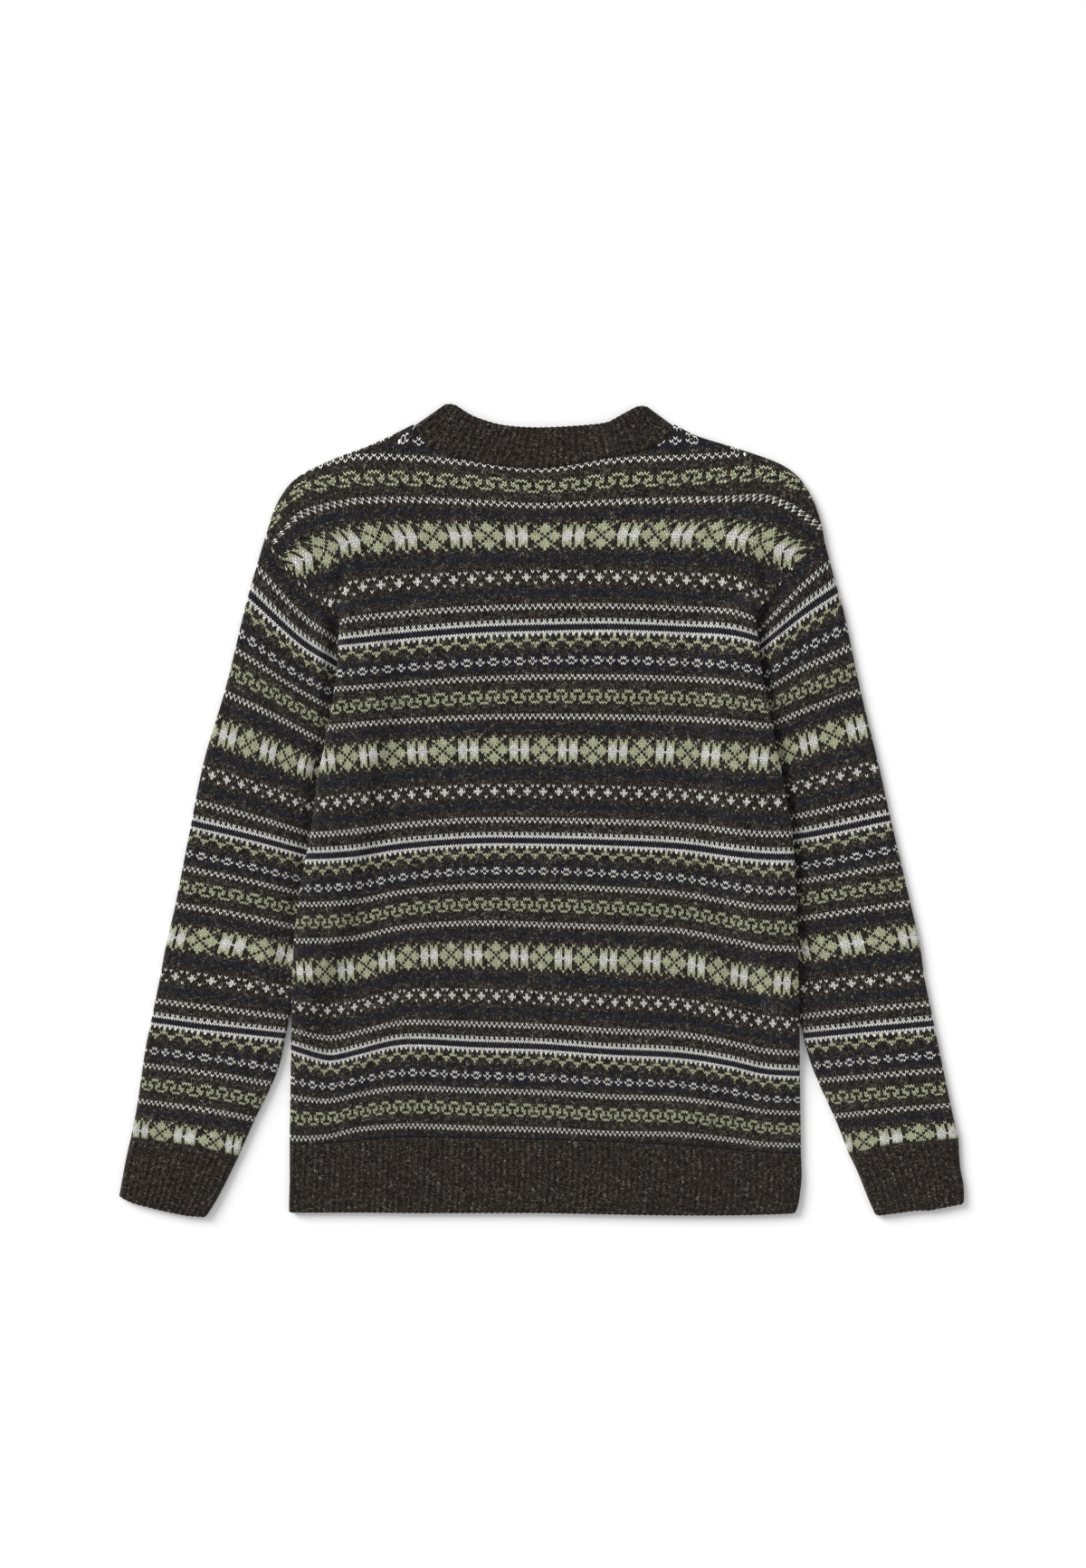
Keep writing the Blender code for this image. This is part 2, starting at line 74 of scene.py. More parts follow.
def add_object(name, data):
    """A new object in the scene, with the given mesh, lamp or lens."""
    made = bpy.data.objects.new(name, data)
    bpy.context.collection.objects.link(made)
    return made


def make_table():
    """A wide white table top, a little below the jumper."""
    half, height = TABLE_SIZE / 2, -TABLE_GAP * MM
    mesh = bpy.data.meshes.new("table_top")
    corners = [(-half, -half, height), (half, -half, height), (half, half, height), (-half, half, height)]
    mesh.from_pydata(corners, [], [(0, 1, 2, 3)])
    white = bpy.data.materials.new("white_table")
    shader = principled(white)
    shader.inputs["Base Color"].default_value = TABLE_WHITE
    shader.inputs["Roughness"].default_value = TABLE_ROUGHNESS
    mesh.materials.append(white)
    table_top = add_object("table_top", mesh)


def light_the_room():
    """White light from all round, and the one lamp."""
    scene = bpy.context.scene
    scene.view_settings.view_transform = "Standard"
    world = bpy.data.worlds.new("room")
    world.use_nodes = True
    background = world.node_tree.nodes["Background"]
    background.inputs["Color"].default_value = (1, 1, 1, 1)
    background.inputs["Strength"].default_value = ROOM_LIGHT
    scene.world = world
    lamp = bpy.data.lights.new("wide_lamp", "SUN")
    lamp.angle = np.radians(LAMP_SPREAD)
    lamp.energy = LAMP_POWER
    add_object("wide_lamp", lamp).rotation_euler = (np.radians(LAMP_HEIGHT - 90), 0, np.radians(LAMP_FROM))


def hang_the_camera():
    """The camera, straight above the jumper."""
    lens = bpy.data.cameras.new("camera")
    lens.sensor_width = FILM
    lens.lens = FILM * CAMERA_HEIGHT / (VIEW_LENGTH * MM)
    camera = add_object("camera", lens)
    camera.location = (VIEW_CENTRE[0] * MM, VIEW_CENTRE[1] * MM, CAMERA_HEIGHT)
    bpy.context.scene.camera = camera


make_table()
light_the_room()
hang_the_camera()


# ---- The back ----------------------------------------------------------------------------------
# One panel of stranded stocking stitch in brown-black wool with bands of navy, soft green and
# off-white. It lies face up on the front panel, and rides up a little where the sleeves lie under
# its two sides.

CLOTH = 3.0             # a wall of stranded knit, with its floats behind it
PLY_GAP = 0.4           # air between two walls that lie on each other
SEAM_GAP = 0.3          # between two pieces that are joined edge to edge
RIM = 0.6               # thickness that a wall keeps on its rounded edge
ROUNDING = (0.0, 0.3, 0.6, 1.2, 2.0, 3.0, 4.5)      # distances from a soft edge, over its rounding
BODY_WIDTH = 450.0
BODY_LENGTH = 565.0     # along a side edge and its armhole
ARMHOLE_START = 0.826   # share of that length that lies below the armhole
NECK_START = 0.255      # shares of the body's top edge at which the neck curve starts and ends
NECK_STOP = 0.742
SIDE_REACH = 0.3        # share across the body within which the bends of its side die out
LIFT = 7.4              # how high the body rides where a sleeve lies under it
LIFT_RUN = 26.0         # width over which it comes down again
LIFT_MARGIN = 11.0      # flat width kept beyond the sleeve's edge, and above its end
LIFT_START = -247.0     # heights on the body at which it starts to rise on the sleeve, is up,
LIFT_UP = -163.0        # starts to come down at the armhole, and is down again
LIFT_FULL = 174.0
LIFT_STOP = 195.0


def table(columns, *rows):
    """A small table: the named columns as arrays, from a row for each section."""
    return dict(zip(columns.split(), np.array(rows, float).T))


# The body's side edges, from the hem rib up to the armholes.
SIDES = table(
    "left left_y right right_y",
    (-222.5, -295.5, 229, -303.5),
    (-221, -203.5, 227.5, -203.5),
    (-219, -131.5, 226, -131.5),
    (-214, -75.5, 224.5, -75.5),
    (-203.5, -19.5, 220.5, -19.5),
    (-197, 28.5, 212.5, 28.5),
    (-187.5, 76.5, 203, 76.5),
    (-180.5, 124.5, 194, 124.5),
    (-178, 170, 188.5, 172.5),
)
# The seam above the hem rib, left to right. It follows the courses of the knit.
HEM_SEAM = table(
    "x y",
    (-222.5, -295.5),
    (-185, -293.5),
    (-130, -289),
    (-65, -289),
    (0, -290.5),
    (60, -292.5),
    (120, -295.5),
    (180, -300.5),
    (229, -303.5),
)
# The armhole seams, from the shoulder down to where the body starts to lie on the sleeve.
ARMHOLES = table(
    "left left_y right right_y",
    (-243, 244.5, 250, 236.5),
    (-232, 227, 238, 228.5),
    (-220, 210.5, 225, 219),
    (-206, 197.5, 212.5, 204.5),
    (-192.5, 184.5, 200.5, 188.5),
    (-178, 170, 188.5, 172.5),
)
# The same seams further on, under the body.
UNDERARMS = table(
    "left left_y right right_y",
    (-178, 170, 188.5, 172.5),
    (-169, 159.5, 179.5, 163),
    (-160, 148.5, 170.5, 153),
)
# The shoulders, from the sleeve to the neck.
SHOULDERS = table(
    "left left_y right right_y",
    (-243, 244.5, 250, 236.5),
    (-236.5, 264.5, 247, 252.5),
    (-230, 277.5, 241, 271),
    (-221, 289.5, 234, 284.5),
    (-207, 299.5, 224.5, 296.5),
    (-181, 311.5, 207.5, 307.5),
    (-155.5, 321, 172, 320),
    (-133, 331, 138, 330.5),
    (-112.5, 341.5, 117, 341),
)
# The seam at the back of the neck, left to right.
NECK_SEAM = table(
    "x y",
    (-112.5, 341.5),
    (-108.5, 332),
    (-100.5, 322),
    (-83, 314),
    (-61, 308),
    (-29, 303),
    (1, 302),
    (33, 306),
    (61, 312),
    (85, 316.5),
    (103, 323),
    (113, 332),
    (117, 341),
)
# The sleeves' inner edges, from cuff to underarm. The body rides up over them.
SLEEVE_INNER = table(
    "left left_y right right_y",
    (-267.5, -305, 271, -302.5),
    (-254.5, -275.5, 260.5, -275.5),
    (-232.5, -227.5, 238, -224),
    (-219.5, -171.5, 225, -175),
    (-189, -87.5, 197, -87.5),
    (-166, 36.5, 176, 36.5),
    (-160, 148.5, 170.5, 153),
)

CURVE_STEPS = 24        # points worked out between two rows of a table


def measured(points):
    """A line of points, and each one's share of its length."""
    run = np.concatenate([[0], np.cumsum(np.linalg.norm(np.diff(points, axis=0), axis=1))])
    return points, run / run[-1]


def smooth_line(x, y):
    """Points of a smooth curve through a table's rows, and each one's share of the length."""
    knots = np.column_stack([x, y])
    knots = np.vstack([2 * knots[0] - knots[1], knots, 2 * knots[-1] - knots[-2]])
    points = [knots[1]]
    for before, start, end, after in zip(knots[:-3], knots[1:-2], knots[2:-1], knots[3:]):
        for k in range(1, CURVE_STEPS + 1):
            t = k / CURVE_STEPS
            points.append(0.5 * (2 * start + (end - before) * t
                                 + (2 * before - 5 * start + 4 * end - after) * t**2
                                 + (3 * start - before - 3 * end + after) * t**3))
    return measured(np.array(points))


def curve_of(rows):
    """The smooth curve through a table's x and y."""
    return smooth_line(rows["x"], rows["y"])


def side_line(rows, side):
    """The smooth curve of one side of a table that has a left and a right one."""
    return smooth_line(rows[side], rows[side + "_y"])


def turned(line):
    """The same line from its other end."""
    points, run = line
    return points[::-1], 1 - run[::-1]


def there_and_back(first, second):
    """The points of one line, and then those of a second one from its other end."""
    return np.vstack([first[0], second[0][::-1]])


def x_at(points, y):
    """Where a line of points that goes up passes a height."""
    return np.interp(y, points[:, 1], points[:, 0])


def along(line, shares):
    """Points at shares 0..1 of a line's length."""
    points, run = line
    return np.column_stack([np.interp(shares, run, points[:, k]) for k in (0, 1)])


def chain(shares, breaks, lines):
    """Points along an edge made of several lines, which meet at the shares in breaks."""
    points = np.empty((len(shares), 2))
    for low, high, line in zip(breaks, breaks[1:], lines):
        here = (shares >= low) & (shares <= high)
        points[here] = along(line, (shares[here] - low) / (high - low))
    return points


def smoothstep(x):
    """0 below 0, 1 above 1, and a soft rise between."""
    x = np.clip(x, 0, 1)
    return x * x * (3 - 2 * x)


def patch(left, right, bottom, top, across, up, reach=None):
    """A grid of points filling four edges: rows go up, columns go across.

    The bends of the two sides die out across the whole grid, or within the share reach of it.
    """
    t = up[:, None, None]
    grid = (1 - t) * bottom[None] + t * top[None]
    for side, k, near in ((left, 0, across), (right, -1, 1 - across)):
        bend = side[:, None] - (1 - t) * bottom[k] - t * top[k]
        fade = 1 - near if reach is None else 1 - smoothstep(near / reach)
        grid = grid + fade[None, :, None] * bend
    return grid


def from_ends(shares, length):
    """How far each share of a length is from its nearer end."""
    return np.minimum(shares, 1 - shares) * length


def round_over(distance):
    """Share of a wall's fullness at a distance from its soft edge: 0 on the edge, 1 inside."""
    return np.sqrt(1 - (1 - np.clip(distance / ROUNDING[-1], 0, 1)) ** 2)


def soft_shares(width, count):
    """Shares across a width: the rounding steps at both ends, and count even steps between."""
    steps = np.array(ROUNDING) / width
    return np.concatenate([steps[:-1], np.linspace(steps[-1], 1 - steps[-1], count + 1), 1 - steps[-2::-1]])


def body_shares(columns, rows):
    """Shares across and up the body at which a panel has points."""
    low = np.linspace(0, ARMHOLE_START, round(rows * ARMHOLE_START) + 1)
    high = np.linspace(ARMHOLE_START, 1 - ROUNDING[-1] / BODY_LENGTH, round(rows * (1 - ARMHOLE_START)))
    edge = 1 - np.array(ROUNDING[-2::-1]) / BODY_LENGTH
    return soft_shares(BODY_WIDTH, columns), np.concatenate([low, high[1:], edge])


def body_grid(neck_line, across, up):
    """The body's grid, with the given line as its neck."""
    lines = {}
    for side in ("left", "right"):
        side_and_armhole = side_line(SIDES, side), turned(side_line(ARMHOLES, side))
        lines[side] = chain(up, (0, ARMHOLE_START, 1), side_and_armhole)
    shoulders_and_neck = side_line(SHOULDERS, "left"), neck_line, turned(side_line(SHOULDERS, "right"))
    top = chain(across, (0, NECK_START, NECK_STOP, 1), shoulders_and_neck)
    bottom = along(curve_of(HEM_SEAM), across) + (0, SEAM_GAP / 2)
    lines["left"][0], lines["right"][0] = bottom[0], bottom[-1]
    return patch(lines["left"], lines["right"], bottom, top, across, up, SIDE_REACH)


INWARDS = {"left": 1, "right": -1}      # which way along x the middle of the body lies from its sides


def lift(grid):
    """How high the body rides over the sleeves that lie under its two sides."""
    x, y = grid[..., 0], grid[..., 1]
    height = smoothstep((y - LIFT_START) / (LIFT_UP - LIFT_START)) * smoothstep(
        (LIFT_STOP - y) / (LIFT_STOP - LIFT_FULL))
    total = np.zeros(x.shape)
    for side, inwards in INWARDS.items():
        edge = there_and_back(side_line(SIDES, side), side_line(ARMHOLES, side))
        under = there_and_back(side_line(SLEEVE_INNER, side), side_line(UNDERARMS, side))
        # How far the sleeve reaches in under the body here, or a margin further down.
        tucked = np.zeros(x.shape)
        for level in (y, y - LIFT_MARGIN):
            reach = (x_at(under, level) - x_at(edge, level)) * inwards
            tucked = np.maximum(tucked, reach * (level < under[-1, 1]))
        inside = (x - x_at(edge, y)) * inwards - tucked - LIFT_MARGIN
        total += height * (1 - smoothstep(inside / LIFT_RUN))
    return LIFT * total


def body_edges(across, up):
    """Share of the full wall, 0..1, near the body's soft edges: its sides and its shoulders."""
    sides = round_over(from_ends(across, BODY_WIDTH))[None, :]
    sides = np.where(up[:, None] <= ARMHOLE_START, sides, 1)
    on_neck = (across > NECK_START) & (across < NECK_STOP)
    shoulders = np.where(~on_neck[None, :], round_over((1 - up) * BODY_LENGTH)[:, None], 1)
    return np.minimum(sides, shoulders)


# Soft creases of the body, each along a straight line, with its height and its half width.
BODY_CREASES = table(
    "x y end_x end_y height width",
    (-176, -268, -118, -96, 1.5, 17),
    (-128, -282, -92, -150, 1.1, 14),
    (196, -262, 128, -104, 1.6, 16),
    (142, -276, 104, -186, 1, 13),
    (-150, 60, -96, 176, 1.2, 15),
    (150, 38, 106, 168, 1.3, 15),
    (-60, 214, 46, 232, 0.9, 12),
    (-36, -60, 82, -22, 0.9, 18),
    (-206, 268, -150, 214, 1.3, 14),
    (214, 258, 160, 210, 1.3, 14),
    (10, -214, 96, -240, 0.9, 15),
    (-70, 20, 18, 46, 0.8, 18),
    (184, 216, 177, 118, 1.8, 9),
    (-168, 206, -172, 130, 1.2, 9),
)


CREASE_FADE = 0.25      # share of a crease's length over which it dies out, inside and outside its ends


def creases(grid, rows):
    """Height of the soft ridges in a table, over each point of a grid."""
    total = np.zeros(grid.shape[:2])
    for x, y, end_x, end_y, height, width in zip(*rows.values()):
        start, run = np.array([x, y]), np.array([end_x - x, end_y - y])
        length = np.linalg.norm(run)
        share = (grid - start) @ run / length**2
        aside = (grid - start) @ np.array([-run[1], run[0]]) / length
        ends = smoothstep((from_ends(share, 1) + CREASE_FADE) / (2 * CREASE_FADE))
        total += height * ends * np.exp(-(aside / width) ** 2)
    return total


# The deep folds at the armholes, where the body bends over the sleeves.
DEEP_FOLDS = table(
    "x y end_x end_y height width",
    (-177, 210, -180, 176, -3.9, 4.5),
    (197, 218, 193, 180, -3.9, 5.5),
)


# Where the courses of the pattern run across the body: the heights at which each one passes the
# places across that head the columns. Course 0 is the middle of the top band of diamonds.
BODY_PLACES = (-235, -215, -190, -175, -160, -120, -60, 0, 60, 120, 165, 195, 220, 240)
BODY_COURSES = {
    -25.5: (277, 296, 306, 309.5, 312.5, 311.5, 306.5, 300.5, 308.5, 311.5, 314, 316, 305, 292),
    -19.0: (260, 283.5, 289.5, 291, 292.5, 292, 289, 285.5, 290.5, 292.5, 296, 297, 293, 283),
    -11.5: (238, 259.5, 268.5, 271.5, 273.5, 274.5, 272, 269, 272, 274, 275, 276.5, 267.5, 254),
    0.0: (206, 219.5, 230.5, 235.5, 238.5, 241, 242.5, 242, 243.5, 243.5, 242.5, 235, 226, 215),
    15.0: (160, 168, 179, 192, 196.5, 201, 204, 206, 205.5, 203, 200.5, 187.5, 176, 168),
    32.5: (135, 141, 146.5, 148, 149.5, 154, 159, 161, 162, 160, 157, 149.5, 143, 137),
    50.5: (96, 101, 106, 107.5, 108.5, 112, 116, 118, 118, 116.5, 113.5, 108.5, 105, 101.5),
    76.0: (37.5, 41, 44.5, 46.5, 48.5, 51, 53.5, 53.5, 52.5, 51, 48, 46.5, 48, 48.5),
    108.5: (-41, -40.5, -40, -39, -37.5, -31.5, -27, -27, -28.5, -31.5, -37.5, -40.5, -41, -41),
    126.5: (-83, -82.5, -82, -81, -79.5, -71.5, -66.5, -66.5, -69, -73, -80.5, -85, -85.5, -86),
    152.0: (-142.5, -142, -141.5, -140.5, -138.5, -129.5, -127, -129.5, -132, -134, -143.5, -150, -152, -153),
    184.5: (-203.5, -210.5, -218, -216.5, -212.5, -204, -206.5, -208.5, -213, -216, -223, -230, -232, -232.5),
    216.5: (-286, -289, -287.5, -284, -281, -278, -280, -281.5, -284.5, -285.5, -290, -294, -295, -295.5),
}
# Where the wales of the pattern stand at some courses: the places across of the middles of the
# bars, which head the columns. Wale 0 is the middle of the back.
BODY_WALES = (-81, -63, -45, -27, -9, 9, 27, 45, 63, 81)
BODY_WALE_PLACES = {
    -19.0: (-289, -224, -158.5, -94, -29, 35.5, 100, 165, 230, 295),
    0.0: (-210, -170, -119.5, -71, -22, 28, 76.5, 123.5, 172.5, 213),
    76.0: (-189, -153, -110, -64.5, -19.5, 23, 67.5, 109, 148.5, 191),
    152.0: (-172.5, -136.5, -99, -60.5, -19.5, 19, 59, 97, 136.5, 174),
    216.5: (-166, -131.5, -95, -58, -19, 18, 56.5, 94, 131.5, 168),
}
# How the rows of one repeat of the pattern space themselves out, in millimetres down from the
# middle of the diamonds: the wave and the diamonds are knitted a little looser than the rest.
REPEAT_COURSES = 76
COURSE_SPACING = table(
    "course down",
    (0, 0),
    (5.5, 12.8),
    (15, 36.7),
    (25.5, 62),
    (32.5, 80.5),
    (37.5, 92),
    (44, 108.7),
    (50.5, 122.1),
    (57, 139.8),
    (64.5, 156.5),
    (70.5, 173.2),
    (76, 186),
)
REPEATS = range(-1, 4)


def straight_on(x, known_x, known_y):
    """Values between known ones, carried straight on beyond both ends."""
    known_x, known_y = np.asarray(known_x, float), np.asarray(known_y, float)
    before = np.minimum(x - known_x[0], 0) * (known_y[1] - known_y[0]) / (known_x[1] - known_x[0])
    after = np.maximum(x - known_x[-1], 0) * (known_y[-1] - known_y[-2]) / (known_x[-1] - known_x[-2])
    return np.interp(x, known_x, known_y) + before + after


def stitches_at(grid, courses, wales):
    """The wale and the course of the stitch at each point of a grid.

    courses gives for some courses the curve, as x and y, that they follow, and wales gives for some
    courses where, as x, their numbered wales stand. Both go down the cloth.
    """
    x, y = grid[..., 0], grid[..., 1]
    down = np.concatenate([COURSE_SPACING["down"][:-1] + COURSE_SPACING["down"][-1] * k for k in REPEATS])
    numbers = np.concatenate([COURSE_SPACING["course"][:-1] + REPEAT_COURSES * k for k in REPEATS])
    spaced = np.interp(list(courses), numbers, down)
    levels = []
    for known_x, known_y in courses.values():
        curve, _ = smooth_line(known_x, known_y)
        levels.append(straight_on(x, curve[:, 0], curve[:, 1]))
    depth = None
    for upper, lower, start, stop in zip(levels, levels[1:], spaced, spaced[1:]):
        here = start + (upper - y) / (upper - lower) * (stop - start)
        depth = here if depth is None else np.where(y < upper, here, depth)
    course = np.interp(depth, down, numbers)
    wale = None
    known = [(number, straight_on(x, places, names)) for number, (names, places) in wales.items()]
    for (start, first), (stop, second) in zip(known, known[1:]):
        share = np.clip((course - start) / (stop - start), 0, 1)
        here = first + share * (second - first)
        wale = here if wale is None else np.where(course > start, here, wale)
    return np.dstack([wale, course])


# The shoulder seams, from the armhole to the neck. Above them a strip of the front's cloth lies over
# the shoulder, with its courses the other way up.
SHOULDER_SEAMS = table(
    "left left_y right right_y",
    (-200, 302.5, 200, 309),
    (-172, 313, 182, 313.5),
    (-155, 317.5, 166.5, 318),
    (-133, 322, 145, 324),
    (-120, 328.5, 125, 330.5),
    (-108, 334, 110, 336),
)


def body_stitches(grid):
    """The stitches of the back at each point of its grid."""
    seam = there_and_back(side_line(SHOULDER_SEAMS, "left"), side_line(SHOULDER_SEAMS, "right"))
    seam_y = np.interp(grid[..., 0], seam[:, 0], seam[:, 1])
    seam_y = np.where((grid[..., 0] > seam[0, 0]) & (grid[..., 0] < seam[-1, 0]), seam_y, np.inf)
    grid = np.dstack([grid[..., 0], np.minimum(grid[..., 1], 2 * seam_y - grid[..., 1])])
    courses = {number: (BODY_PLACES, heights) for number, heights in BODY_COURSES.items()}
    wales = {number: (BODY_WALES, places) for number, places in BODY_WALE_PLACES.items()}
    return stitches_at(grid, courses, wales)


STITCH_MAP = "stitches"         # the layer that carries each stitch's wale and course
MERGE = 1e-4                    # points nearer than this, in millimetres, are one


def sew(name, sheets, finishes):
    """One closed piece of cloth from sheets of points that meet along their edges.

    Each sheet has its points, its stitches, and the number of its finish.
    """
    points, faces, stitches, kinds = [], [], [], []
    count = 0
    for sheet, sheet_stitches, kind in sheets:
        rows, columns = sheet.shape[:2]
        number = np.arange(rows * columns).reshape(rows, columns)
        corners = number[:-1, :-1], number[:-1, 1:], number[1:, 1:], number[1:, :-1]
        ring = np.stack(corners, -1).reshape(-1, 4)
        points.append(sheet.reshape(-1, 3))
        faces.append(ring + count)
        stitches.append(sheet_stitches.reshape(-1, 2)[ring.ravel()])
        kinds.append(np.full(len(ring), kind))
        count += rows * columns
    mesh = bpy.data.meshes.new(name)
    mesh.from_pydata((np.concatenate(points) * MM).tolist(), [], np.concatenate(faces).tolist())
    mesh.uv_layers.new(name=STITCH_MAP).data.foreach_set("uv", np.concatenate(stitches).ravel())
    mesh.polygons.foreach_set("material_index", np.concatenate(kinds))
    form = bmesh.new()
    form.from_mesh(mesh)
    bmesh.ops.remove_doubles(form, verts=form.verts, dist=MERGE * MM)
    bmesh.ops.recalc_face_normals(form, faces=form.faces)
    form.to_mesh(mesh)
    form.free()
    mesh.shade_smooth()
    for finish in finishes:
        mesh.materials.append(finish)
    return add_object(name, mesh)


OUTSIDE, INSIDE = 0, 1          # numbers of a piece's finishes: its right and its wrong side


def wall_sheets(grid, low, high, stitches, faces_up):
    """The sheets of a single wall of cloth: its two sides, and the rims between them."""
    under, over = np.dstack([grid, low]), np.dstack([grid, high])
    upper, lower = (OUTSIDE, INSIDE) if faces_up else (INSIDE, OUTSIDE)
    sheets = [(over, stitches, upper), (under, stitches, lower)]
    for edge in (np.s_[0, :], np.s_[-1, :], np.s_[:, 0], np.s_[:, -1]):
        sheets.append((np.stack([under[edge], over[edge]]), np.stack([stitches[edge]] * 2), OUTSIDE))
    return sheets


def flat_area(grid):
    """Area of a flat grid, in square metres."""
    across, up = grid[:-1, 1:] - grid[:-1, :-1], grid[1:, :-1] - grid[:-1, :-1]
    return float(np.abs(across[..., 0] * up[..., 1] - across[..., 1] * up[..., 0]).sum() * MM**2)


# The chart of one repeat: each band's courses from the top, each course as the stitches of one
# motif across. w is off-white, g is soft green, and a dot is the ground.
REPEAT_WALES = 18
CHART = {
    -5: ("g...g....g...g....",
         "gg.g..g.g.g.g..g.g",
         "ggg...ggg.ggg...gg",
         "gg.g..gwg.gwg..g.g",
         "g.ggg.www.www.ggg.",
         ".gggggwwwwwwwggggg",
         "g.ggg.www.www.ggg.",
         "gg.g..gwg.gwg..g.g",
         "ggg...ggg.ggg...gg",
         "gg.g..g.g.g.g..g.g",
         "g...g....g...g...."),
    13: ("..w.w.", "w.....", "ww...w", "w.....", "...w.."),
    25: ("w.", ".w"),
    30: ("w.", "w"),
    34: ("w", "w."),
    36: ("g.....", "gg...g", "..ggg.", "...g.."),
    43: ("ww...w...", "..w.w.w.w", "ww...w..."),
    50: ("w.", ".w"),
    55: ("gg...g", "..g.g.", ".gg.gg", ".g...g", "..ggg."),
    64: ("w.", ".w"),
}
# The ground's own colours down the repeat: from each course on, its shares of navy and of brown,
# and how closely the light yarns fill out where they meet.
GROUNDS = table(
    "course navy brown filled",
    (0, 0, 0.2, 0.6),
    (7, 0.64, 0, 0.5),
    (8, 0.72, 0, 0.5),
    (10, 0.6, 0.5, 0.5),
    (11, 0, 0.8, 0.6),
    (19, 0.62, 0.2, 0.5),
    (20, 0.74, 0, 0.5),
    (22, 0.6, 0.5, 0.5),
    (23, 0, 0.8, 0.5),
    (27, 0, 0.4, 0.35),
    (32, 1, 0, 0),
    (34, 0, 0, 0.9),
    (36, 0, 0, 0.35),
    (41, 0.61, 0, 0.35),
    (42, 0.7, 0, 0.35),
    (48, 0.6, 0.3, 0.2),
    (49, 0, 0.5, 0.2),
    (67, 0.65, 0.3, 0.2),
    (68, 0.78, 0, 0.2),
    (69, 0.62, 0.2, 0.2),
    (70, 0, 0.2, 0.6),
)


def wire(tree, socket, value):
    """Sets a socket to a number, a colour or a vector, or links it to another socket."""
    if isinstance(value, bpy.types.NodeSocket):
        tree.links.new(value, socket)
    else:
        socket.default_value = value


def node(tree, kind, output=0, settings=None, **inputs):
    """A new node with its settings and inputs, and the output asked for."""
    made = tree.nodes.new("ShaderNode" + kind)
    for name, value in (settings or {}).items():
        setattr(made, name, value)
    for name, value in inputs.items():
        wire(tree, made.inputs[int(name[1:]) if name[1:].isdigit() else name], value)
    return made.outputs[output]


def calc(tree, operation, first, second=0.0, third=0.0):
    """One sum of up to three numbers or sockets."""
    return node(tree, "Math", settings={"operation": operation}, i0=first, i1=second, i2=third)


def rise_over(tree, value, start, stop, full=1.0):
    """0 at start, full at stop, and an even rise between."""
    return node(tree, "MapRange", Value=value, i1=start, i2=stop, i3=0.0, i4=full)


def parts_of(tree, colour):
    """The red, green and blue parts of a colour."""
    split = tree.nodes.new("ShaderNodeSeparateColor")
    tree.links.new(colour, split.inputs[0])
    return split.outputs


def blend(tree, share, first, second):
    """A colour between two."""
    return node(tree, "Mix", 2, {"data_type": "RGBA"}, i0=share, i6=first, i7=second)


def group(name, inputs, outputs):
    """A new shader group with its named inputs and their first values, and its named outputs."""
    tree = bpy.data.node_groups.new(name, "ShaderNodeTree")
    for label, value in inputs.items():
        kind = "NodeSocketVector" if isinstance(value, tuple) else "NodeSocketFloat"
        tree.interface.new_socket(label, in_out="INPUT", socket_type=kind).default_value = value
    for label, kind in outputs.items():
        tree.interface.new_socket(label, in_out="OUTPUT", socket_type="NodeSocket" + kind)
    return tree, tree.nodes.new("NodeGroupInput").outputs, tree.nodes.new("NodeGroupOutput").inputs


def place(tree, shader_group, **values):
    """A group placed in a tree, with its inputs set. An underscore stands for a space."""
    made = tree.nodes.new("ShaderNodeGroup")
    made.node_tree = shader_group
    for name, value in values.items():
        wire(tree, made.inputs[name.replace("_", " ")], value)
    return made.outputs


END_DIP = 0.5           # share of its height that a stitch's leg loses at its two ends


def stitch_group():
    """Finds the V-shaped stitch of stocking stitch at a place, and how its two legs stand up."""
    tree, given, result = group(
        "stocking stitch",
        {"Stitches": (0.0, 0.0, 0.0), "Slant": 0.9, "Unevenness": 0.2},
        {"Wale": "Float", "Course": "Float", "Down": "Float", "Along": "Float", "Leg": "Float"})
    # No two stitches lie quite alike.
    wander = node(tree, "TexNoise", "Color", {"noise_dimensions": "2D"},
                  Vector=given["Stitches"], Scale=0.9, Detail=2.0, Roughness=0.6)
    shift = node(tree, "VectorMath", settings={"operation": "SUBTRACT"}, i0=wander, i1=(0.5, 0.5, 0.5))
    shift = node(tree, "VectorMath", settings={"operation": "SCALE"}, i0=shift, Scale=given["Unevenness"])
    uneven = node(tree, "VectorMath", settings={"operation": "ADD"}, i0=given["Stitches"], i1=shift)
    split = tree.nodes.new("ShaderNodeSeparateXYZ")
    tree.links.new(uneven, split.inputs[0])
    # The two legs rise outwards from the middle of their wale, so courses are counted along that slope.
    wale = calc(tree, "FLOOR", calc(tree, "ADD", split.outputs["X"], 0.5))
    aside = calc(tree, "SUBTRACT", split.outputs["X"], wale)
    out = calc(tree, "ABSOLUTE", aside)
    rise = calc(tree, "MULTIPLY", calc(tree, "MULTIPLY_ADD", out, 2.0, -0.5), given["Slant"])
    level = calc(tree, "ADD", split.outputs["Y"], rise)
    course = calc(tree, "FLOOR", calc(tree, "ADD", level, 0.5))
    # A leg is round across, and dips at its two ends.
    across_leg = calc(tree, "MULTIPLY", calc(tree, "SUBTRACT", level, course), 2.0)
    leg = calc(tree, "SUBTRACT", 1.0, calc(tree, "MULTIPLY", across_leg, across_leg))
    along_leg = calc(tree, "MULTIPLY_ADD", out, 4.0, -1.0)
    ends = calc(tree, "MULTIPLY", along_leg, along_leg)
    leg = calc(tree, "MULTIPLY", leg, calc(tree, "MULTIPLY_ADD", ends, -END_DIP, 1.0))
    found = {"Wale": wale, "Course": course, "Down": across_leg, "Along": ends, "Leg": leg}
    for label, value in found.items():
        tree.links.new(value, result[label])
    return tree


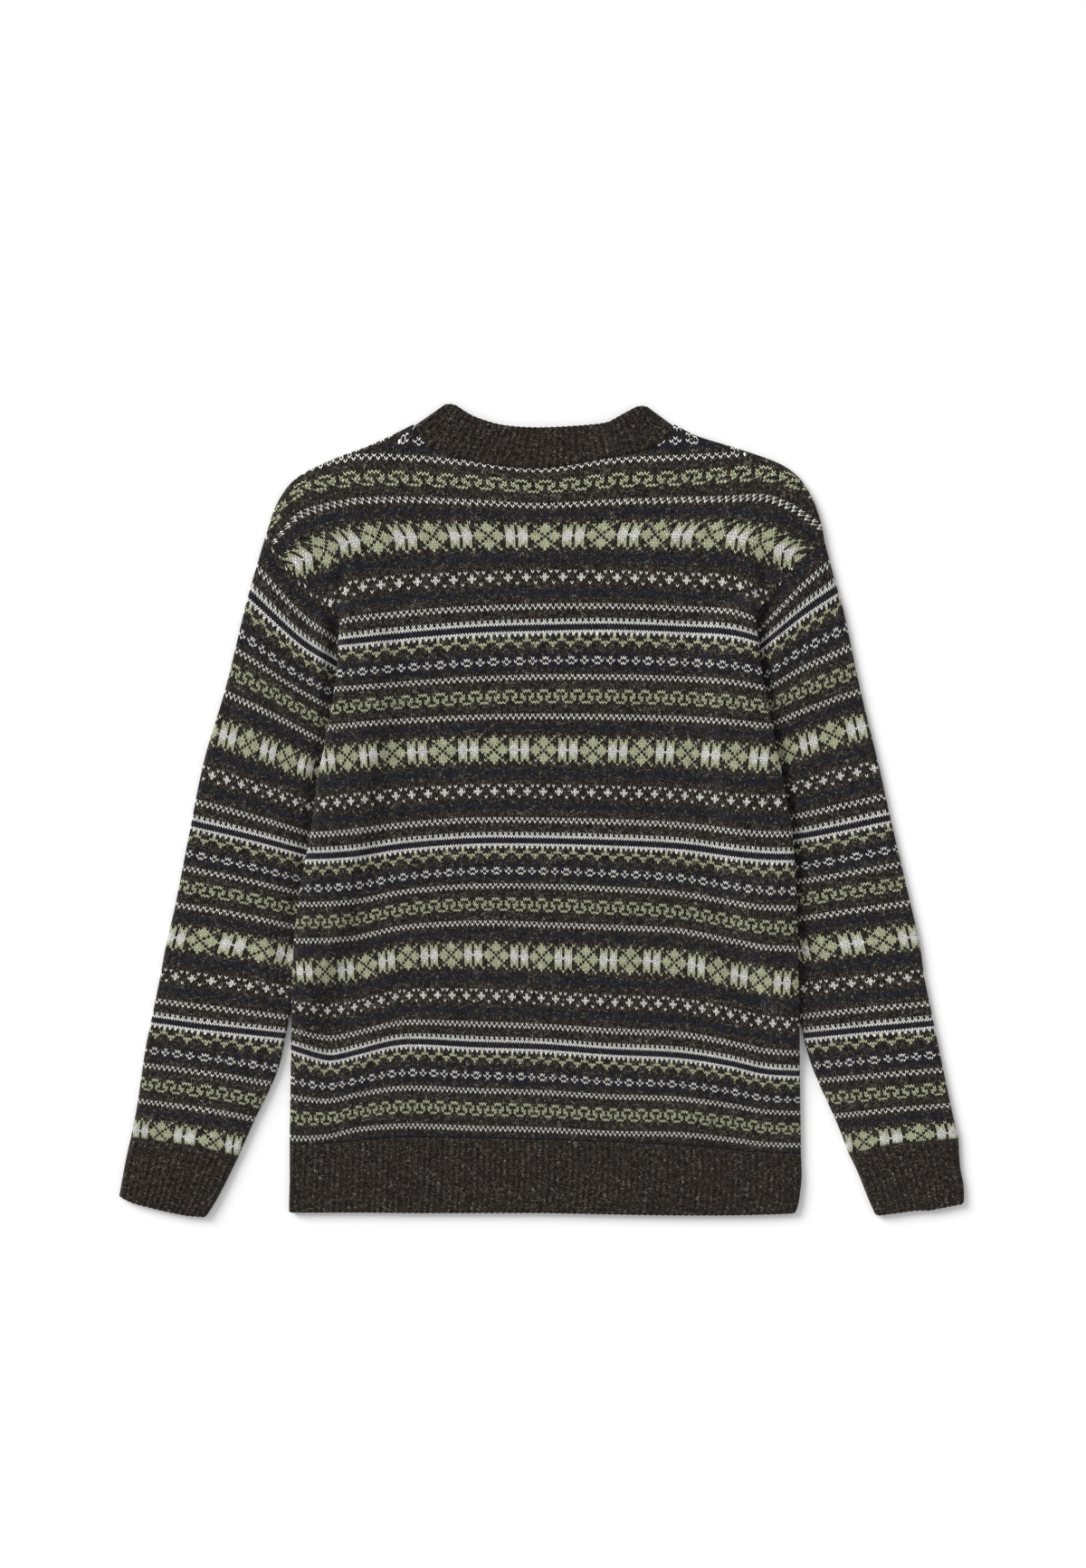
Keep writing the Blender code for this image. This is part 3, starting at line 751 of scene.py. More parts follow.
def ramp_of_courses(tree, position, values):
    """A stepped ramp down the repeat, with one value of three parts for each course."""
    ramp = tree.nodes.new("ShaderNodeValToRGB")
    tree.links.new(position, ramp.inputs[0])
    steps = ramp.color_ramp
    steps.interpolation = "CONSTANT"
    starts = [k for k in range(REPEAT_COURSES) if k == 0 or values[k] != values[k - 1]]
    while len(steps.elements) < len(starts):
        steps.elements.new(1.0)
    for element, start in zip(steps.elements, starts):
        element.position = start / REPEAT_COURSES
    for element, start in zip(steps.elements, starts):
        element.color = (*values[start], 1)
    return ramp.outputs["Color"]


def chart_group():
    """Reads the chart: which yarn makes the stitch in a given wale and course.

    A course's stitches are kept as one number, with a binary digit for each wale of the repeat.
    """
    tree, given, result = group(
        "fair isle chart",
        {"Wale": 0.0, "Course": 0.0},
        {"White": "Float", "Green": "Float", "Navy": "Float", "Brown": "Float", "Filled": "Float"})
    charted = {"w": [0] * REPEAT_COURSES, "g": [0] * REPEAT_COURSES}
    for first, band in CHART.items():
        for k, motif in enumerate(band):
            stitches = motif * (REPEAT_WALES // len(motif))
            for yarn, numbers in charted.items():
                numbers[(first + k) % REPEAT_COURSES] = sum(2**n for n, s in enumerate(stitches) if s == yarn)
    wale = calc(tree, "FLOORED_MODULO", given["Wale"], REPEAT_WALES)
    digit = calc(tree, "POWER", 2.0, wale)
    course = calc(tree, "FLOORED_MODULO", given["Course"], REPEAT_COURSES)
    position = calc(tree, "DIVIDE", calc(tree, "ADD", course, 0.5), REPEAT_COURSES)
    scale = 2**REPEAT_WALES
    for label, yarn in (("White", "w"), ("Green", "g")):
        numbers = [(number / scale,) * 3 for number in charted[yarn]]
        number = parts_of(tree, ramp_of_courses(tree, position, numbers))[0]
        whole = calc(tree, "MULTIPLY_ADD", number, scale, 0.5)
        digits = calc(tree, "FLOOR", calc(tree, "DIVIDE", whole, digit))
        tree.links.new(calc(tree, "FLOORED_MODULO", digits, 2.0), result[label])
    shares = [None] * REPEAT_COURSES
    for start, *parts in zip(*GROUNDS.values()):
        shares[int(start):] = [parts] * (REPEAT_COURSES - int(start))
    grounds = parts_of(tree, ramp_of_courses(tree, position, shares))
    for label, share in zip(("Navy", "Brown", "Filled"), grounds):
        tree.links.new(share, result[label])
    return tree


def yarn_colour(red, green, blue):
    """A linear colour from the 0 to 255 values of a shade card."""
    card = np.array([red, green, blue]) / 255
    linear = np.where(card <= 0.04045, card / 12.92, ((card + 0.055) / 1.055) ** 2.4)
    return (*linear.tolist(), 1.0)


# The yarns, as on a shade card. The ground is spun from dark, grey and reddish-brown wools.
DARK_WOOL = yarn_colour(12, 11, 9)
GROUND_WOOL = yarn_colour(59, 55, 48)
GREY_WOOL = yarn_colour(168, 164, 152)
BROWN_WOOL = yarn_colour(70, 50, 41)
NAVY_WOOL = yarn_colour(29, 32, 46)
GREEN_WOOL = yarn_colour(204, 210, 172)
WHITE_WOOL = yarn_colour(250, 250, 244)
# How many blotches, reddish fibres and flecks of light and dark lie along a metre of the cloth.
BLOTCHES = 150.0
REDS = 330.0
FLECKS = 420.0
# The noise that strews them runs from 0 to 1. A wool starts to show at the first of two values of it,
# and is there in full at the second.
GROUND_FLECKS = (0.36, 0.66)
GREY_FLECKS = (0.56, 0.76)
RED_FLECKS = (0.48, 0.62)
FIBRES = (0.3, 0.7)
NAVY_EDGE = (-0.03, 0.05)       # counted from the level that the share of navy sets
NAVY_LEVEL = 0.25       # that level where all of the ground is navy,
NAVY_SPREAD = 0.7       # and how much higher it is where none is
BLOTCH_PART = 0.6       # share of the blotches in the navy's noise, which has fine fibres as well
# The share of the wool below that each one hides where it is thickest.
GREY_COVER = 0.9
RED_COVER = 0.15        # in every course, and
BROWN_COVER = 0.45      # so much more in the brown ones
NAVY_COVER = 0.75


def melange_group():
    """The mixed fibres of the wool: a mottled ground, and fine fibres in light and dark."""
    tree, given, result = group(
        "melange wool",
        {"Place": (0.0, 0.0, 0.0), "Brown": 0.0, "Navy": 0.0},
        {"Colour": "Color", "Fibres": "Float"})
    tree.interface.items_tree["Colour"].default_value = GROUND_WOOL
    cloth = given["Place"]
    blotches = node(tree, "TexNoise", Vector=cloth, Scale=BLOTCHES, Detail=2.0, Roughness=0.6)
    flecks = node(tree, "TexNoise", Vector=cloth, Scale=FLECKS, Detail=3.0, Roughness=0.7, Distortion=1.5)
    reds = node(tree, "TexNoise", "Color", Vector=cloth, Scale=REDS, Detail=2.0, Roughness=0.6)
    red_part, green_part, _ = parts_of(tree, reds)
    ground = blend(tree, rise_over(tree, flecks, *GROUND_FLECKS), DARK_WOOL, GROUND_WOOL)
    ground = blend(tree, rise_over(tree, flecks, *GREY_FLECKS, GREY_COVER), ground, GREY_WOOL)
    red = calc(tree, "MULTIPLY", rise_over(tree, red_part, *RED_FLECKS),
               calc(tree, "MULTIPLY_ADD", given["Brown"], BROWN_COVER, RED_COVER))
    ground = blend(tree, red, ground, BROWN_WOOL)
    # Navy comes in as patches, which grow together as its share rises.
    level = calc(tree, "SUBTRACT", 1.0, given["Navy"])
    level = calc(tree, "MULTIPLY_ADD", level, NAVY_SPREAD, NAVY_LEVEL)
    mottle = calc(tree, "MULTIPLY", green_part, 1 - BLOTCH_PART)
    mottle = calc(tree, "MULTIPLY_ADD", blotches, BLOTCH_PART, mottle)
    patches = rise_over(tree, calc(tree, "SUBTRACT", mottle, level), *NAVY_EDGE, NAVY_COVER)
    tree.links.new(blend(tree, patches, ground, NAVY_WOOL), result["Colour"])
    tree.links.new(rise_over(tree, flecks, *FIBRES), result["Fibres"])
    return tree


STOCKING_STITCH = stitch_group()
FAIR_ISLE_CHART = chart_group()
MELANGE_WOOL = melange_group()

WOOL_ROUGHNESS = 0.95
WOOL_SHEEN = 0.06
WOOL_SPECULAR = 0.07
STITCH_RELIEF = 0.9 * MM


def wool_material(name, colour_of):
    """A woollen finish. colour_of adds the nodes for its colour and its relief to the tree."""
    material = bpy.data.materials.new(name)
    shader = principled(material)
    tree = material.node_tree
    shader.inputs["Roughness"].default_value = WOOL_ROUGHNESS
    shader.inputs["Sheen Weight"].default_value = WOOL_SHEEN
    shader.inputs["Specular IOR Level"].default_value = WOOL_SPECULAR
    colour, relief = colour_of(tree)
    bump = node(tree, "Bump", Strength=1.0, Distance=STITCH_RELIEF, Height=relief)
    tree.links.new(colour, shader.inputs["Base Color"])
    tree.links.new(bump, shader.inputs["Normal"])
    return material


def knit_of(tree, **form):
    """The stitch at each point of the cloth."""
    stitches = node(tree, "UVMap", settings={"uv_map": STITCH_MAP})
    return place(tree, STOCKING_STITCH, Stitches=stitches, **form)


def wool_of(tree, **shares):
    """The mixed wool at each point of the cloth."""
    return place(tree, MELANGE_WOOL, Place=node(tree, "TexCoord", "Object"), **shares)


# Painted shade on the loops of each knit, darker between the courses and at the ends of the legs, and the
# fibres' own lighter and darker tone: what each adds, and what is there without it.
LOOP_PAINTED_SHADE = (0.8, 0.42)
FIBRE_LIGHT = (1.2, 0.37)
WRONG_SIDE_PAINTED_SHADE = (0.6, 0.5)


def painted_shade_and_tone(tree, colour, *parts):
    """A colour with painted shade and the fibres' tone. Each part is a mask, the brightness that it adds, and
    the brightness without it.
    """
    lights = [calc(tree, "MULTIPLY_ADD", *part) for part in parts]
    light = lights[0]
    for further in lights[1:]:
        light = calc(tree, "MULTIPLY", light, further)
    return node(tree, "VectorMath", settings={"operation": "SCALE"}, i0=colour, Scale=light)


YARN_WIDTH = 0.57       # share of a course that a light yarn fills where it has the ground beside it
YARN_TAPER = 0.3        # how much of that it loses at the two ends of a leg
YARN_BLUR = 0.15        # how softly its hairy edge gives way
YARN_FRAY = 0.5         # width of the strip along that edge in which its fibres end


def patterned_knit(tree):
    """The right side of the stranded knit."""
    knit = knit_of(tree)
    chart = place(tree, FAIR_ISLE_CHART, Wale=knit["Wale"], Course=knit["Course"])
    wool = wool_of(tree, Brown=chart["Brown"], Navy=chart["Navy"])
    # A light yarn is narrower than its course where the ground lies above or below it.
    off_centre = calc(tree, "MULTIPLY_ADD", knit["Along"], YARN_TAPER, calc(tree, "ABSOLUTE", knit["Down"]))
    frayed = calc(tree, "SUBTRACT", off_centre, YARN_FRAY / 2)
    frayed = calc(tree, "MULTIPLY_ADD", wool["Fibres"], YARN_FRAY, frayed)
    full = rise_over(tree, frayed, YARN_WIDTH + YARN_BLUR, YARN_WIDTH - YARN_BLUR)
    nearest = calc(tree, "ADD", knit["Course"], calc(tree, "SIGN", knit["Down"]))
    beyond = place(tree, FAIR_ISLE_CHART, Wale=knit["Wale"], Course=nearest)
    filled = calc(tree, "MULTIPLY", calc(tree, "MAXIMUM", beyond["Green"], beyond["White"]), chart["Filled"])
    full = calc(tree, "MAXIMUM", full, filled)
    colour = blend(tree, calc(tree, "MULTIPLY", chart["Green"], full), wool["Colour"], GREEN_WOOL)
    colour = blend(tree, calc(tree, "MULTIPLY", chart["White"], full), colour, WHITE_WOOL)
    # Shade on the loops is painted into the colour: darker between the courses and at the ends of the legs.
    return painted_shade_and_tone(tree, colour, (knit["Leg"], *LOOP_PAINTED_SHADE), (wool["Fibres"], *FIBRE_LIGHT)), knit["Leg"]


WRONG_SIDE_SHIFT = 2.0  # wales by which the pattern lies further on, behind its right side


def wrong_side(tree):
    """The wrong side of the same knit: short, nearly level loops in the same colours."""
    knit = knit_of(tree, Slant=-0.35)
    wale = calc(tree, "ADD", knit["Wale"], WRONG_SIDE_SHIFT)
    chart = place(tree, FAIR_ISLE_CHART, Wale=wale, Course=knit["Course"])
    wool = wool_of(tree, Brown=chart["Brown"], Navy=chart["Navy"])
    colour = blend(tree, chart["Green"], wool["Colour"], GREEN_WOOL)
    colour = blend(tree, chart["White"], colour, WHITE_WOOL)
    # Shade on the loops is painted into the colour: darker between the courses and at the ends of the legs.
    return painted_shade_and_tone(tree, colour, (knit["Leg"], *WRONG_SIDE_PAINTED_SHADE)), knit["Leg"]


PATTERNED = wool_material("patterned_knit", patterned_knit)
WRONG_SIDE = wool_material("wrong_side_of_knit", wrong_side)


def put_in_place(piece, node_name):
    """Ties a finished piece to the frame, and hides the frame's part that it stands for."""
    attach(piece, "root")
    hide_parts(node_name)


def make_panel(name, grid, low, high, stitches, faces_up):
    """One of the body's two panels, between the heights of its lower and its upper side."""
    sheets = wall_sheets(grid, low, high, stitches, faces_up)
    panel = sew("jumper_" + name, sheets, [PATTERNED, WRONG_SIDE])
    put_in_place(panel, name)


BACK_COLUMNS = 170
BACK_ROWS = 224
BACK_PUFF = 1.5         # how far the back's wool stands up over its wall, away from its edges
PUFF_RUN = 16.0         # width over which it rises

back_across, back_up = body_shares(BACK_COLUMNS, BACK_ROWS)
back_grid = body_grid(curve_of(NECK_SEAM), back_across, back_up)
beside_edge = np.minimum(from_ends(back_across, BODY_WIDTH)[None, :],
                         from_ends(back_up, BODY_LENGTH)[:, None])
inner_part = smoothstep(beside_edge / PUFF_RUN)
back_low = lift(back_grid) + CLOTH + PLY_GAP
back_high = back_low + RIM + (CLOTH - RIM) * body_edges(back_across, back_up)
back_high = back_high + inner_part * (BACK_PUFF + creases(back_grid, BODY_CREASES))
back_high = np.maximum(back_high + creases(back_grid, DEEP_FOLDS), back_low + RIM)
make_panel("back", back_grid, back_low, back_high, body_stitches(back_grid), True)


# ---- The front ---------------------------------------------------------------------------------
# The other panel, in the same knit, with a deeper neckline. It lies face down, so its right side
# is flat on the table, and the back covers the rest of it.

FRONT_COLUMNS = 90
FRONT_ROWS = 116
FRONT_NECK_DROP = 96.0  # from the side of the neck down to the seam at the middle of the front
FRONT_NECK_POWER = 2.4  # how round the front neckline is: 2 is a parabola, more is squarer
FRONT_NECK_KNOTS = 13


def front_neck(drop, start, end):
    """A round front neckline between two points, as a smooth line."""
    across = np.linspace(-1, 1, FRONT_NECK_KNOTS)
    x = np.interp(across, (-1, 1), (start[0], end[0]))
    level = np.interp(across, (-1, 1), (start[1], end[1]))
    return smooth_line(x, level - drop * (1 - np.abs(across) ** FRONT_NECK_POWER))


front_across, front_up = body_shares(FRONT_COLUMNS, FRONT_ROWS)
neck_corners = [(NECK_SEAM["x"][k], NECK_SEAM["y"][k]) for k in (0, -1)]
front_grid = body_grid(front_neck(FRONT_NECK_DROP, *neck_corners), front_across, front_up)
front_high = lift(front_grid) + CLOTH
front_low = front_high - RIM - (CLOTH - RIM) * body_edges(front_across, front_up)
# It faces down, so its wales count the other way.
front_stitches = body_stitches(front_grid) * (-1, 1)
make_panel("front", front_grid, front_low, front_high, front_stitches, False)


# ---- The sleeves -------------------------------------------------------------------------------
# Two tubes of the same stranded knit, sewn on at dropped armholes and drawn down beside the body,
# so that their inner edges lie under it. Their bands of pattern slant down towards the body.

PAIR = 2 * CLOTH + PLY_GAP          # two walls, one on the other
MIDDLE = PAIR / 2                   # height of the parting between them
SLEEVE_WIDTH = 130.0
SLEEVE_LENGTH = 560.0
SLEEVE_COLUMNS = 48
SLEEVE_ROWS = 216
UNDERARM_START = 0.775  # share of the sleeve's top edge that is sewn where it shows
SEAM_REACH = 0.1        # share of the sleeve's length over which it draws back to leave the seam gap
SEAM_NORMAL = np.array([0.7, -0.7])     # from the body to the right sleeve, across the armhole seam

# The sleeves' outer edges, from cuff to shoulder.
SLEEVE_OUTER = table(
    "left left_y right right_y",
    (-362.5, -288, 368, -289.5),
    (-357, -259.5, 361, -259.5),
    (-350, -211.5, 351, -211.5),
    (-343.5, -179.5, 344.5, -179.5),
    (-337, -147.5, 338, -147.5),
    (-331, -115.5, 333.5, -115.5),
    (-323.5, -83.5, 326, -83.5),
    (-311, -19.5, 311, -19.5),
    (-298, 44.5, 296.5, 44.5),
    (-279, 108.5, 281, 108.5),
    (-263.5, 172.5, 267.5, 172.5),
    (-255, 204.5, 258.5, 204.5),
    (-243, 244.5, 250, 236.5),
)
# The seams above the cuffs, left to right.
CUFF_SEAMS = {
    "left": table(
        "x y",
        (-362.5, -288),
        (-328, -293),
        (-308, -295.5),
        (-290, -299.5),
        (-267.5, -305),
    ),
    "right": table(
        "x y",
        (271, -302.5),
        (284, -300.5),
        (297, -297),
        (312, -294),
        (334, -292),
        (368, -289.5),
    ),
}
# Where the courses run across each sleeve: near its outer edge, in its middle, and near the body.
SLEEVE_COURSES = {
    "left": table(
        "course outer outer_y middle middle_y inner inner_y",
        (25.5, -251, 214.5, -214, 174, -184, 152),
        (32.5, -255, 188, -213, 149.5, -184, 131),
        (44, -263, 153.5, -219, 121.5, -190, 106),
        (57, -266, 118.5, -227, 97.5, -199, 80.5),
        (76, -288, 69, -241, 52, -209, 39),
        (108.5, -307, -12, -256, -24, -212, -36),
        (152, -323, -112, -272, -118.5, -226, -127.5),
        (184.5, -341, -185, -288, -192, -223, -199),
        (209, -349, -242, -283, -250.5, -252, -257),
        (228, -354, -282.5, -316.5, -287.5, -272.5, -296),
    ),
    "right": table(
        "course outer outer_y middle middle_y inner inner_y",
        (25.5, 254, 218.5, 228, 196, 200, 167.5),
        (32.5, 261, 195, 232, 175.5, 200, 150),
        (44, 268.5, 160.5, 231.5, 142, 203, 122.5),
        (57, 275, 121.5, 226, 103, 200.5, 91),
        (76, 277.5, 72.5, 256, 67, 217, 52.5),
        (108.5, 307.5, -6.5, 246.5, -19.5, 219.5, -24),
        (152, 324, -112, 273, -117.5, 228.5, -123.5),
        (184.5, 344.5, -188, 288.5, -193, 229, -199),
        (209, 352.5, -246.5, 307, -250, 255.5, -254.5),
        (228, 358, -284.5, 308, -289, 284, -292.5),
    ),
}
# Where the wales stand at some courses, counted from the outer edge.
SLEEVE_WALES = (9, 18, 27, 36, 45)
SLEEVE_WALE_PLACES = {
    "left": {
        32.5: (-249, -231, -214, -198, -184),
        76.0: (-277, -259, -241, -225, -208.5),
        152.0: (-323, -301.5, -272, -245.5, -226),
        228.0: (-354, -337, -316.5, -289.5, -272.5),
    },
    "right": {
        32.5: (256, 238, 221, 205, 190),
        76.0: (277.5, 256, 235, 217, 200),
        152.0: (324, 301, 273, 247, 228.5),
        228.0: (358, 335, 308, 284, 268),
    },
}
# Soft creases of the sleeves, seen from above: the left one's, and then the right one's.
SLEEVE_CREASES = table(
    "x y end_x end_y height width",
    (-270, 150, -214, 96, 1.3, 12),
    (-292, 60, -250, 10, 1.1, 12),
    (-312, -50, -268, -62, 0.9, 14),
    (-330, -140, -300, -206, 1.1, 13),
    (-296, -196, -262, -236, 1, 11),
    (276, 140, 228, 92, 1.3, 12),
    (300, 48, 262, 0, 1.1, 12),
    (318, -44, 276, -66, 0.9, 14),
    (334, -150, 304, -200, 1.1, 13),
    (300, -206, 268, -240, 1, 11),
)


def sleeve_grid(side, across, up):
    """The sleeve's grid, its columns from the outer edge inwards and its rows up from the cuff."""
    armhole, underarm = side_line(ARMHOLES, side), side_line(UNDERARMS, side)
    outer, inner = side_line(SLEEVE_OUTER, side), side_line(SLEEVE_INNER, side)
    away = SEAM_GAP * SEAM_NORMAL * (-INWARDS[side], 1)
    bottom = along(curve_of(CUFF_SEAMS[side]), across if side == "left" else 1 - across) + (0, SEAM_GAP / 2)
    top = chain(across, (0, UNDERARM_START, 1), (armhole, underarm))
    edges = along(outer, up), along(inner, up)
    edges[0][0], edges[1][0] = bottom[0], bottom[-1]
    grid = patch(*edges, bottom, top, across, up)
    return grid + smoothstep((up - 1 + SEAM_REACH) / SEAM_REACH)[:, None, None] * away


def resample(grid, shares, wanted):
    """A grid's points at other shares across, on the straight lines between its columns."""
    return np.dstack([[np.interp(wanted, shares, row) for row in grid[..., k]] for k in (0, 1)])


def tube_sheets(halves, shares, width, rise, stitches, thickness=None):
    """The four sheets of a flat tube that lies on the surface, and the strips round its two ends.

    halves are the grids of its upper and its lower half. rise is what is added to the height of the
    upper half. stitches are those of the upper half, and run on round the first fold into the lower.
    """
    thickness = np.ones(len(stitches)) if thickness is None else thickness
    full = MIDDLE * round_over(from_ends(shares, width))[None, :]
    inset = (CLOTH + RIM) / width
    parting = np.full(stitches.shape[:2], PLY_GAP / 2)
    parting[:, [0, -1]] = 0
    around = np.dstack([2 * stitches[:, :1, 0] - stitches[..., 0], stitches[..., 1]])
    folds = resample(halves[0], shares, np.array([inset, 1 - inset]))
    within = inset + (1 - 2 * inset) * shares
    # Where the upper half is pressed down past its own wall, the parting sinks with it.
    past_wall = np.minimum(rise + MIDDLE - PLY_GAP / 2 - RIM, 0)
    sunk = np.array([np.interp(within, shares, row) for row in past_wall])
    outer, inner = [], []
    for grid, sign, added, sheet_stitches in zip(halves, (1, -1), (rise, 0), (stitches, around)):
        inside = resample(grid, shares, within)
        inside[:, [0, -1]] = folds
        height = MIDDLE + sign * thickness[:, None] * full + added
        outer.append((np.dstack([grid, height]), sheet_stitches, OUTSIDE))
        inner.append((np.dstack([inside, MIDDLE + sign * parting + sunk]), sheet_stitches, INSIDE))
    ends = [(np.stack([out[0][k], lining[0][k]]), np.stack([out[1][k]] * 2), OUTSIDE)
            for out, lining in zip(outer, inner) for k in (0, -1)]
    return outer + inner + ends


def sleeve_stitches(side, grid):
    """The stitches of the upper half of a sleeve at each point of its grid."""
    order = slice(None, None, INWARDS[side])
    courses = {}
    for number, *places in zip(*SLEEVE_COURSES[side].values()):
        courses[number] = places[0::2][order], places[1::2][order]
    wales = {}
    for number, places in SLEEVE_WALE_PLACES[side].items():
        wales[number] = SLEEVE_WALES[order], places[order]
    return stitches_at(grid, courses, wales)


# Where the sleeves stand up before they bend down under the body: twice on each.
SLEEVE_BENDS = table(
    "x y end_x end_y height width",
    (-193, 182, -196, 92, 3.8, 6.5),
    (-204, 60, -212, -10, 1.6, 8),
    (207, 178, 208, 92, 3.2, 7),
    (224, 50, 234, -30, 1.4, 9),
)

SLEEVE_PUFF = 0.9       # how far a sleeve's wool stands up in the open
SLEEVE_PUFF_RUN = 30.0  # width over which it rises
PRESSED_DOWN = 1.3      # how far the body's edge presses the sleeve down in a wide band beside it,
PRESSED_DEEPER = 3.3    # and how much further in a narrow one
PRESSED_EDGE = 13.0


def make_sleeve(side):
    """A sleeve that stands up in the open, and is pressed down along the body's edge and under it."""
    across, up = soft_shares(SLEEVE_WIDTH, SLEEVE_COLUMNS), np.linspace(0, 1, SLEEVE_ROWS + 1)
    grid = sleeve_grid(side, across, up)
    body_edge = there_and_back(side_line(SIDES, side), side_line(ARMHOLES, side))
    clear_of_body = (x_at(body_edge, grid[..., 1]) - grid[..., 0]) * INWARDS[side]
    clear_of_body = np.where(grid[..., 1] < LIFT_START, 2 * SLEEVE_PUFF_RUN, clear_of_body)
    beside_fold = from_ends(across, SLEEVE_WIDTH)[None, :]
    beside_end = from_ends(up, SLEEVE_LENGTH)[:, None]
    room = np.minimum(np.minimum(beside_fold, beside_end), clear_of_body - ROUNDING[-1])
    rise = smoothstep(room / SLEEVE_PUFF_RUN) * (SLEEVE_PUFF + creases(grid, SLEEVE_CREASES))
    pressed = PRESSED_DOWN * smoothstep((SLEEVE_PUFF_RUN - np.abs(clear_of_body)) / SLEEVE_PUFF_RUN)
    pressed = pressed + PRESSED_DEEPER * smoothstep((PRESSED_EDGE - np.abs(clear_of_body)) / PRESSED_EDGE)
    bent = creases(grid, SLEEVE_BENDS) * smoothstep(clear_of_body / PRESSED_EDGE)
    inner_part = smoothstep(beside_fold / SLEEVE_PUFF_RUN) * smoothstep(beside_end / PRESSED_EDGE)
    rise = rise + (bent - pressed) * inner_part
    sheets = tube_sheets((grid, grid), across, SLEEVE_WIDTH, rise, sleeve_stitches(side, grid))
    sleeve = sew("jumper_sleeve_" + side, sheets, [PATTERNED, WRONG_SIDE])
    put_in_place(sleeve, "sleeve_" + side)


for side in ("left", "right"):
    make_sleeve(side)


# ---- The hem rib -------------------------------------------------------------------------------
# A deep ring of 1x1 rib in the brown-black wool, knitted on below the two panels. Its ribs stand
# up on the back, and are pressed flat underneath.

RIB_PITCH = 5.2         # one rib and one furrow of 1x1 rib
RIB_RISE = 0.7          # a rib's height over its furrow
FREE_END = 0.8          # share of its thickness that a rib keeps at its free end
RIB_SCALLOP = 0.45      # how far each rib's free end stands out beyond its furrows' ends
RIB_COLUMNS = 8         # columns of the mesh to each rib
RIB_COURSE = 2.5        # height of one course of the rib

HEM_END = table(
    "x y",
    (-221.5, -353.5),
    (-217.5, -354.5),
    (-160, -354.5),
    (-110, -355),
    (-50, -355),
    (0, -355),
    (50, -356),
    (110, -357),
    (170, -357),
    (219, -355.5),
    (223.5, -354),
)
HEM_SIDES = table(
    "left left_y right right_y",
    (-221.5, -353.5, 223.5, -354),
    (-222, -343, 226.5, -346),
    (-222.5, -323.5, 229.5, -326),
    (-222.5, -295.5, 229, -303.5),
)

# Painted shade on its loops and its fibres' own tone, as on the patterned knit's, and painted shade in the
# furrows between its ribs.
RIB_LOOP_PAINTED_SHADE = (0.4, 0.7)
RIB_FIBRE_LIGHT = (0.6, 0.7)
FURROW_PAINTED_SHADE = 0.64     # how much of it the furrows between two ribs keep


def ribbed_knit(tree):
    """Plain rib: columns of V-shaped stitches on the ribs, with painted shade in the furrows between them."""
    knit = knit_of(tree, Slant=0.6, Unevenness=0.3)
    wool = wool_of(tree, Brown=0.8)
    on_rib = calc(tree, "FLOORED_MODULO", knit["Wale"], 2.0)
    # Painted shade on the loops and in the furrows between the ribs.
    colour = painted_shade_and_tone(tree, wool["Colour"], (knit["Leg"], *RIB_LOOP_PAINTED_SHADE), (wool["Fibres"], *RIB_FIBRE_LIGHT),
                 (on_rib, 1 - FURROW_PAINTED_SHADE, FURROW_PAINTED_SHADE))
    return colour, knit["Leg"]


RIBBED = wool_material("ribbed_knit", ribbed_knit)


def rib_shares(width):
    """Shares across a ribbed half, and the number of ribs from its first fold at each of them."""
    count = round((width - 2 * ROUNDING[-1]) / RIB_PITCH) * RIB_COLUMNS
    shares = soft_shares(width, count)
    return shares, (shares * width - ROUNDING[-1]) / (width - 2 * ROUNDING[-1]) * (count / RIB_COLUMNS)


def make_rib(name, halves, width, length, rows):
    """A flat ring of rib. halves are functions for the grids of its two halves at shares across and up."""
    across, ribs = rib_shares(width)
    up = np.unique(np.concatenate([np.linspace(0, 1, rows + 1), np.array(ROUNDING[1:4]) / length]))
    grids = [grid_at(across, up) for grid_at in halves]
    on_ribs = (ribs >= 0) & (ribs <= ribs[len(ribs) - len(ROUNDING)])
    ridge = np.where(on_ribs, 0.5 - 0.5 * np.cos(2 * np.pi * (ribs + 0.5)), 0)
    rise = RIB_RISE * ridge
    # Each rib's free end stands out a little, straight on from the rib.
    for grid in grids:
        out = grid[0] - grid[len(ROUNDING)]
        out = out / np.linalg.norm(out, axis=1)[:, None] * ridge[:, None]
        grid += RIB_SCALLOP * (1 - smoothstep(up * length / ROUNDING[-1]))[:, None, None] * out
    thickness = FREE_END + (1 - FREE_END) * round_over(up * length)
    courses = up * length / RIB_COURSE
    stitches = np.dstack(np.meshgrid(2 * ribs, -courses))
    sheets = tube_sheets(grids, across, width, rise[None, :] * thickness[:, None], stitches, thickness)
    ring = sew("jumper_" + name, sheets, [RIBBED, RIBBED])
    around = sum(np.linalg.norm(np.diff(grid, axis=1), axis=2).sum(axis=1).max() for grid in grids)
    area = sum(flat_area(grid) for grid in grids)
    put_in_place(ring, name)


def make_ring(name, left, right, end, seam, width, length, rows):
    """A ring of rib between the lines of its two sides, its free end and its seam."""
    def grid_at(across, up):
        top = along(seam, across) - (0, SEAM_GAP / 2)
        edges = along(left, up), along(right, up)
        edges[0][-1], edges[1][-1] = top[0], top[-1]
        return patch(*edges, along(end, across), top, across, up)

    make_rib(name, [grid_at] * 2, width, length, rows)


HEM_LENGTH = 61.0
HEM_ROWS = 16

make_ring("hem_rib", side_line(HEM_SIDES, "left"), side_line(HEM_SIDES, "right"), curve_of(HEM_END),
          curve_of(HEM_SEAM), BODY_WIDTH, HEM_LENGTH, HEM_ROWS)


# ---- The cuffs ---------------------------------------------------------------------------------
# Two shorter rings of the same brown-black 1x1 rib, knitted on below the sleeves. Their ribs too
# stand up on the upper side, and are pressed flat underneath.

CUFF_WIDTH = 88.0       # halfway along it, laid flat
CUFF_LENGTH = 53.0
CUFF_ROWS = 14
